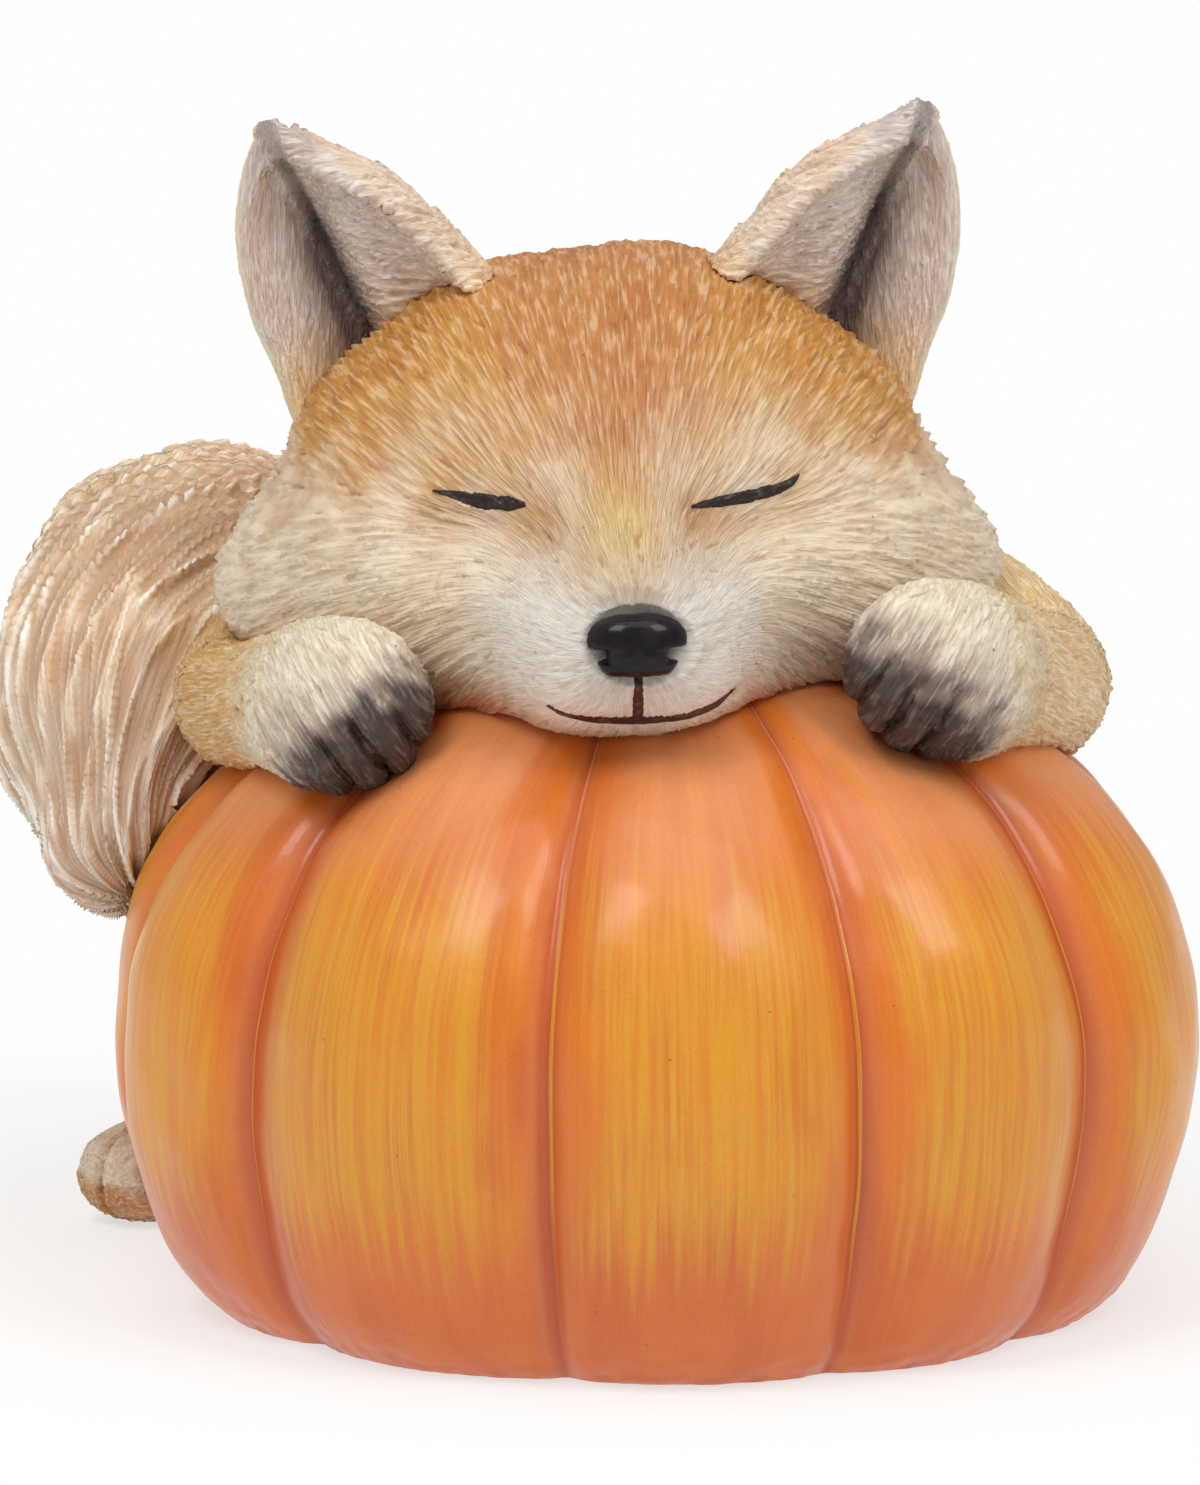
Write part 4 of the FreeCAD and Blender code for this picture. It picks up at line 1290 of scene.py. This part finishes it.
def make_lines(head):
    """The lashes of the closed eyes, and the smile with the line up to the nose."""
    mesh = head.data
    tree = BVHTree.FromPolygons(
        [vertex.co for vertex in mesh.vertices], [tuple(poly.vertices) for poly in mesh.polygons]
    )
    left = painted_stroke(
        tree,
        [(-17.8, 10.6), (-15.5, 10.3), (-13.5, 9.85), (-10.7, 9.75), (-9.0, 9.75)],
        [0.15, 0.9, 1.6, 1.75, 1.6, 0.5], 0.36, 1,
    )
    right = painted_stroke(
        tree,
        [(7.05, 9.2), (9.7, 9.3), (12.8, 9.5), (15.85, 9.9), (17.3, 10.4), (18.15, 11.0)],
        [0.3, 1.2, 1.45, 1.25, 0.9, 0.15], 0.36, 2,
    )
    eyes = joined("lash_lines", [left, right])
    eyes.data.materials.append(line_material("lash paint", (34, 20, 20), (84, 66, 58)))
    smile = painted_stroke(
        tree,
        [(-7.9, -7.9), (-6.5, -8.9), (-3.3, -9.7), (0.8, -10.0), (5.2, -9.7), (8.7, -8.7), (10.4, -7.4)],
        [0.3, 0.7, 0.9, 1.15, 1.25, 1.1, 0.3], 0.28, 3,
    )
    lip = painted_stroke(tree, [(0.8, -4.2), (0.8, -10.0)], [0.8, 1.2, 1.3], 0.28, 4)
    mouth = joined("smile_line", [smile, lip])
    mouth.data.materials.append(line_material("mouth paint", (62, 36, 38), (110, 80, 72)))
    return eyes, mouth


# Pumpkin

RIB_PROFILE_SHARES = (
    (0.000, 0.800), (0.037, 0.862), (0.090, 0.903), (0.180, 0.948), (0.284, 0.986),
    (0.403, 1.000), (0.522, 0.986), (0.627, 0.945), (0.716, 0.880), (0.784, 0.805),
    (0.851, 0.690), (0.910, 0.556), (0.958, 0.404), (0.988, 0.270), (1.000, 0.160),
)


def pumpkin_profile(levels):
    """Heights and crest radii, from the recess over the foot and up to the top."""
    heights = np.array([height for height, _ in RIB_PROFILE_SHARES]) * PUMPKIN_HEIGHT
    radii = np.array([radius for _, radius in RIB_PROFILE_SHARES]) * PUMPKIN_RADIUS
    # an even walk along the profile, eased by repeated averaging
    lengths = np.concatenate([[0], np.cumsum(np.hypot(np.diff(heights), np.diff(radii)))])
    walk = np.linspace(0, lengths[-1], levels)
    height = np.interp(walk, lengths, heights)
    radius = np.interp(walk, lengths, radii)
    for _ in range(30):
        height[1:-1] = (height[:-2] + 2 * height[1:-1] + height[2:]) / 4
        radius[1:-1] = (radius[:-2] + 2 * radius[1:-1] + radius[2:]) / 4
    sole = np.linspace(FOOT_RADIUS, radius[0] - FOOT_ROUNDING, 10)[:-1]
    height = np.concatenate([[FOOT_RECESS], np.zeros(len(sole)), height])
    radius = np.concatenate([[FOOT_RADIUS], sole, radius])
    return height, radius


def rib_layout(azimuth):
    """Round the pumpkin: the rib's number, the place across it, and whether that side is crisp."""
    even = np.radians(np.interp(np.degrees(azimuth), GROOVES_SEEN, GROOVES_EVEN))
    shift = (even - math.radians(RIB_TURN)) / (2 * math.pi / RIB_COUNT)
    rib = np.round(shift)
    within = (shift - rib) * 2
    # a rib's side towards the front is crisp and the other soft; both of the front rib's are crisp
    crisp = (rib == 0) | (np.sign(rib) * np.sign(within) <= 0)
    return rib, within, crisp


def pumpkin_points(height, radius, depth, azimuth):
    """The ribbed surface, row by row, with the unevenness of a casting."""
    ease = radius / PUMPKIN_RADIUS * (1 + 0.35 * np.exp(-((height - 50) / 13) ** 2))
    grid_radius = radius[:, None] - depth[None, :] * ease[:, None]
    grid_radius += smooth(16, 2, height)[:, None] * depth[None, :] * 0.25
    x = grid_radius * np.sin(azimuth)[None, :]
    y = grid_radius * -np.cos(azimuth)[None, :]
    z = np.repeat(height[:, None], len(azimuth), 1)
    points = np.stack([x.ravel(), y.ravel(), z.ravel()], 1)
    out = unit(points * np.array([1, 1, 0.35]))
    wobble = Noise(71, 30.0)(points) * 0.30 + Noise(72, 9.0)(points) * 0.07
    points += out * wobble[:, None] * smooth(1.0, 6.0, points[:, 2])[:, None]
    edge = (points[:, 2] < 6) & (points[:, 2] >= 0.0)
    ragged = Noise(73, 2.4)(points) * 0.10
    points[edge] += out[edge] * (ragged[edge] * smooth(6, 0, points[edge, 2]))[:, None]
    return points


def make_pumpkin():
    """The pumpkin's outside, with what its paint needs to know of each point."""
    turns = 480
    height, radius = pumpkin_profile(150)
    rows = len(height)
    azimuth = np.linspace(-math.pi, math.pi, turns, endpoint=False)
    rib, within, crisp = rib_layout(azimuth)
    t = np.abs(within)
    crease = np.exp(-((1 - t) / np.where(crisp, 0.12, 0.36)) ** 1.3)
    depth = RIB_GROOVE_DEPTH * (0.66 * t ** 1.8 + 0.55 * crease)
    points = pumpkin_points(height, radius, depth, azimuth)
    obj = new_piece("pumpkin", points, net_faces(rows, turns))
    valley = np.where(crisp, smooth(0.85, 1.0, t), smooth(0.45, 1.0, t))
    edge = np.where(crisp, np.exp(-((t - 0.93) / 0.035) ** 2), 0)
    attribute(obj, "valley", np.tile(valley, rows))
    attribute(obj, "crisp", np.tile(edge, rows))
    attribute(obj, "rib", np.tile(rib, rows))
    attribute(obj, "across", np.tile(within, rows))
    attribute(obj, "around", np.tile(azimuth * PUMPKIN_RADIUS, rows))
    attribute(obj, "level", np.repeat(height, turns))
    obj.data.materials.append(pumpkin_paint())
    return obj


def pumpkin_paint():
    """Orange paint, browner in the grooves partly as painted shade, dry-brushed yellow along the ribs and a
    painted highlight high on the ribs' shoulders.
    """
    paint = Paint("pumpkin paint")
    around = paint.attribute("around")
    level = paint.attribute("level")
    rib = paint.attribute("rib")
    across = paint.attribute("across")
    valley = paint.attribute("valley")

    def brush(around_scale, level_scale, rib_shift, detail=4.0):
        """Noise drawn out into upright brush strokes."""
        vector = paint.node("ShaderNodeCombineXYZ")
        paint.link(paint.math("MULTIPLY", around, around_scale), vector.inputs[0])
        paint.link(paint.math("MULTIPLY", level, level_scale), vector.inputs[1])
        paint.link(paint.math("MULTIPLY", rib, rib_shift), vector.inputs[2])
        return paint.noise(detail=detail, vector=vector.outputs[0])

    fine = brush(1.6, 0.05, 3.7)
    hair = brush(5.0, 0.08, 1.3)
    wide = brush(0.16, 0.05, 5.1, detail=2.0)
    ends = brush(0.9, 0.02, 2.9)
    base = paint.colour((220, 120, 32))
    base = paint.over(base, (204, 100, 28), paint.step(wide, 0.40, 0.62, 0.0, 0.75))
    base = paint.over(base, (226, 132, 44), paint.step(fine, 0.45, 0.75, 0.0, 0.4))
    base = paint.over(base, (204, 100, 46), paint.step(level, 24.0, 3.0, 0.0, 0.55))
    # browner paint down the grooves, partly painted shade in the creases
    base = paint.over(base, (188, 80, 34), paint.math("MULTIPLY", valley, 0.85))
    # dry-brushed yellow on the middle of each rib, ragged at both ends
    uneven = paint.math("MULTIPLY", paint.math("SUBTRACT", ends, 0.5), 26.0)
    ended = paint.math("ADD", level, uneven)
    band = paint.math("MULTIPLY", paint.step(ended, 10.0, 20.0), paint.step(ended, 55.0, 42.0))
    middle = paint.math("ABSOLUTE", paint.math("ADD", across, paint.math(
        "MULTIPLY", paint.math("SUBTRACT", wide, 0.5), 0.7
    )))
    band = paint.math("MULTIPLY", band, paint.step(middle, 0.92, 0.50))
    strokes = paint.step(fine, 0.34, 0.62, 0.45, 1.0)
    yellow = paint.math("MULTIPLY", band, strokes)
    base = paint.over(base, (222, 162, 34), paint.math("MULTIPLY", yellow, 0.76))
    pale = paint.math("MULTIPLY", band, paint.step(hair, 0.48, 0.68))
    pale = paint.math("MULTIPLY", pale, paint.step(wide, 0.42, 0.6, 0.1, 0.5))
    base = paint.over(base, (228, 172, 78), pale)
    # painted highlight: a pale patch high on each rib's shoulder, where the overhead light gleams on the
    # gloss
    shoulder_highlight = paint.math("MULTIPLY", paint.step(level, 46.0, 57.0), paint.step(middle, 0.85, 0.35))
    base = paint.over(base, (238, 176, 128), paint.math("MULTIPLY", shoulder_highlight, 0.42))
    base = paint.over(base, (236, 168, 110), paint.math("MULTIPLY", paint.attribute("crisp"), 0.22))
    base = paint.over(base, (206, 92, 38), paint.step(hair, 0.52, 0.80, 0.0, 0.22))
    speck = paint.noise((3.5, 3.5, 3.5), detail=3.0)
    base = paint.mix(paint.step(speck, 0.4, 0.7, 0.0, 0.25), base, paint.colour((180, 110, 80)), "SOFT_LIGHT")
    base = pinholes(paint, base, 5.5, 0.45)
    paint.bump(hair, 0.05, 0.5)
    paint.bump(paint.noise((0.5, 0.5, 0.5), detail=4.0), 0.16, 0.6)
    rough = paint.step(fine, 0.3, 0.7, 0.36, 0.50)
    return paint.done(base, rough, coat=0.42, coat_roughness=0.20, specular=0.32)


# Underside

def underside():
    """The plate and felt stay as the CAD has them and get a material each."""
    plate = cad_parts["base_plate"]
    paint = Paint("bare resin")
    patch = paint.noise((0.2, 0.2, 0.2), detail=5.0)
    base = paint.mix(patch, paint.colour((214, 206, 192)), paint.colour((186, 176, 160)))
    paint.bump(paint.noise((1.0, 1.0, 1.0), detail=4.0), 0.1, 0.5)
    plate.data.materials.clear()
    plate.data.materials.append(paint.done(base, 0.7))
    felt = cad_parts["base_felt"]
    paint = Paint("felt")
    fuzz = paint.noise((2.5, 2.5, 2.5), detail=6.0, rough=0.7)
    base = paint.mix(fuzz, paint.colour((58, 64, 58)), paint.colour((92, 98, 90)))
    paint.bump(fuzz, 0.3, 0.8)
    felt.data.materials.clear()
    felt.data.materials.append(paint.done(base, 0.95, sheen=0.3))


# Studio

def flat_light(name, place, size, power):
    """A soft rectangular lamp turned to the figurine."""
    data = bpy.data.lights.new(name, "AREA")
    data.shape = "RECTANGLE"
    data.size, data.size_y = size
    data.energy = power
    lamp = bpy.data.objects.new(name, data)
    lamp.location = place
    lamp.rotation_mode = "QUATERNION"
    lamp.rotation_quaternion = (Vector(LIGHT_AIM) - Vector(place)).to_track_quat("-Z", "Y")
    bpy.context.scene.collection.objects.link(lamp)


def white_surround():
    """A soft fill all round that the camera sees as plain white."""
    scene = bpy.context.scene
    scene.view_settings.view_transform = "Standard"
    world = bpy.data.worlds.new("studio")
    scene.world = world
    world.use_nodes = True
    tree = world.node_tree
    background = tree.nodes["Background"]
    background.inputs["Color"].default_value = (1, 1, 1, 1)
    path = tree.nodes.new("ShaderNodeLightPath")
    strength = tree.nodes.new("ShaderNodeMapRange")
    tree.links.new(path.outputs["Is Camera Ray"], strength.inputs["Value"])
    strength.inputs["To Min"].default_value = FILL_LIGHT
    strength.inputs["To Max"].default_value = 1.0
    tree.links.new(strength.outputs["Result"], background.inputs["Strength"])


def studio():
    """The white surround, a pale floor that runs out into it, and the lights."""
    white_surround()
    bpy.ops.mesh.primitive_plane_add(size=6.0, location=(0, 0, 0))
    floor = bpy.context.object
    floor.name = "floor"
    paint = Paint("floor")
    patch = paint.noise((0.002, 0.002, 0.002), detail=2.0)
    base = paint.mix(patch, paint.colour((250, 250, 250)), paint.colour((252, 252, 252)))
    floor.data.materials.append(paint.done(base, 0.9, specular=0.0))
    # away from the figurine the floor turns into plain white light
    away = paint.node("ShaderNodeVectorMath", operation="LENGTH")
    paint.tree.links.new(paint.node("ShaderNodeTexCoord").outputs["Object"], away.inputs[0])
    glow = paint.node("ShaderNodeEmission")
    blend = paint.node("ShaderNodeMixShader")
    paint.link(paint.step(away.outputs["Value"], *FLOOR_FADE, 0.62, 1.0), blend.inputs["Fac"])
    paint.tree.links.new(paint.shader.outputs[0], blend.inputs[1])
    paint.tree.links.new(glow.outputs[0], blend.inputs[2])
    paint.tree.links.new(blend.outputs[0], paint.tree.nodes["Material Output"].inputs["Surface"])

    for name, place, size, power in LIGHTS:
        flat_light(name, place, size, power)


def camera():
    """The photograph's viewpoint."""
    data = bpy.data.cameras.new("camera")
    cam = bpy.data.objects.new("camera", data)
    bpy.context.scene.collection.objects.link(cam)
    rise = math.radians(CAMERA_RISE)
    back = Vector((0, -math.cos(rise), math.sin(rise)))
    data.sensor_width = SENSOR_WIDTH
    data.lens = SENSOR_WIDTH * CAMERA_DISTANCE / VIEW_WIDTH
    cam.location = Vector(CAMERA_TARGET) + back * CAMERA_DISTANCE
    cam.rotation_mode = "QUATERNION"
    cam.rotation_quaternion = (-back).to_track_quat("-Z", "Y")
    bpy.context.scene.camera = cam


# Everything in place

def settle(obj, node):
    """Fixes a piece to the part and hides the node that it stands in for."""
    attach(obj, "root")
    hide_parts(node)


# Which side, its sign, elbow and paw heights and seed; then which side, its sign, splay and seed
FORELEGS = (("left", -1, 59.5, 63.4, 41), ("right", 1, 61.0, 67.2, 43))
HIND_LEGS = (("left", -1, 47.0, 45), ("right", 1, 68.0, 47))

head = make_head()
eyes, mouth = make_lines(head)
settle(head, "head")
settle(eyes, "eye_lines")
settle(mouth, "mouth_line")
settle(make_nose(), "nose")
for side, sign in (("left", -1), ("right", 1)):
    node = side + "_ear"
    settle(make_ear("fox_" + node, node, sign), node)
for side, sign, elbow, paw, seed in FORELEGS:
    node = side + "_foreleg"
    settle(make_foreleg("fox_" + node, node, sign, elbow, paw, seed), node)
for side, sign, splay, seed in HIND_LEGS:
    node = side + "_hind_leg"
    settle(make_hind_leg("fox_" + node, node, sign, splay, seed), node)
settle(make_torso(), "torso")
settle(make_tail(), "tail")
settle(make_pumpkin(), "pumpkin_shell")
underside()
studio()
camera()
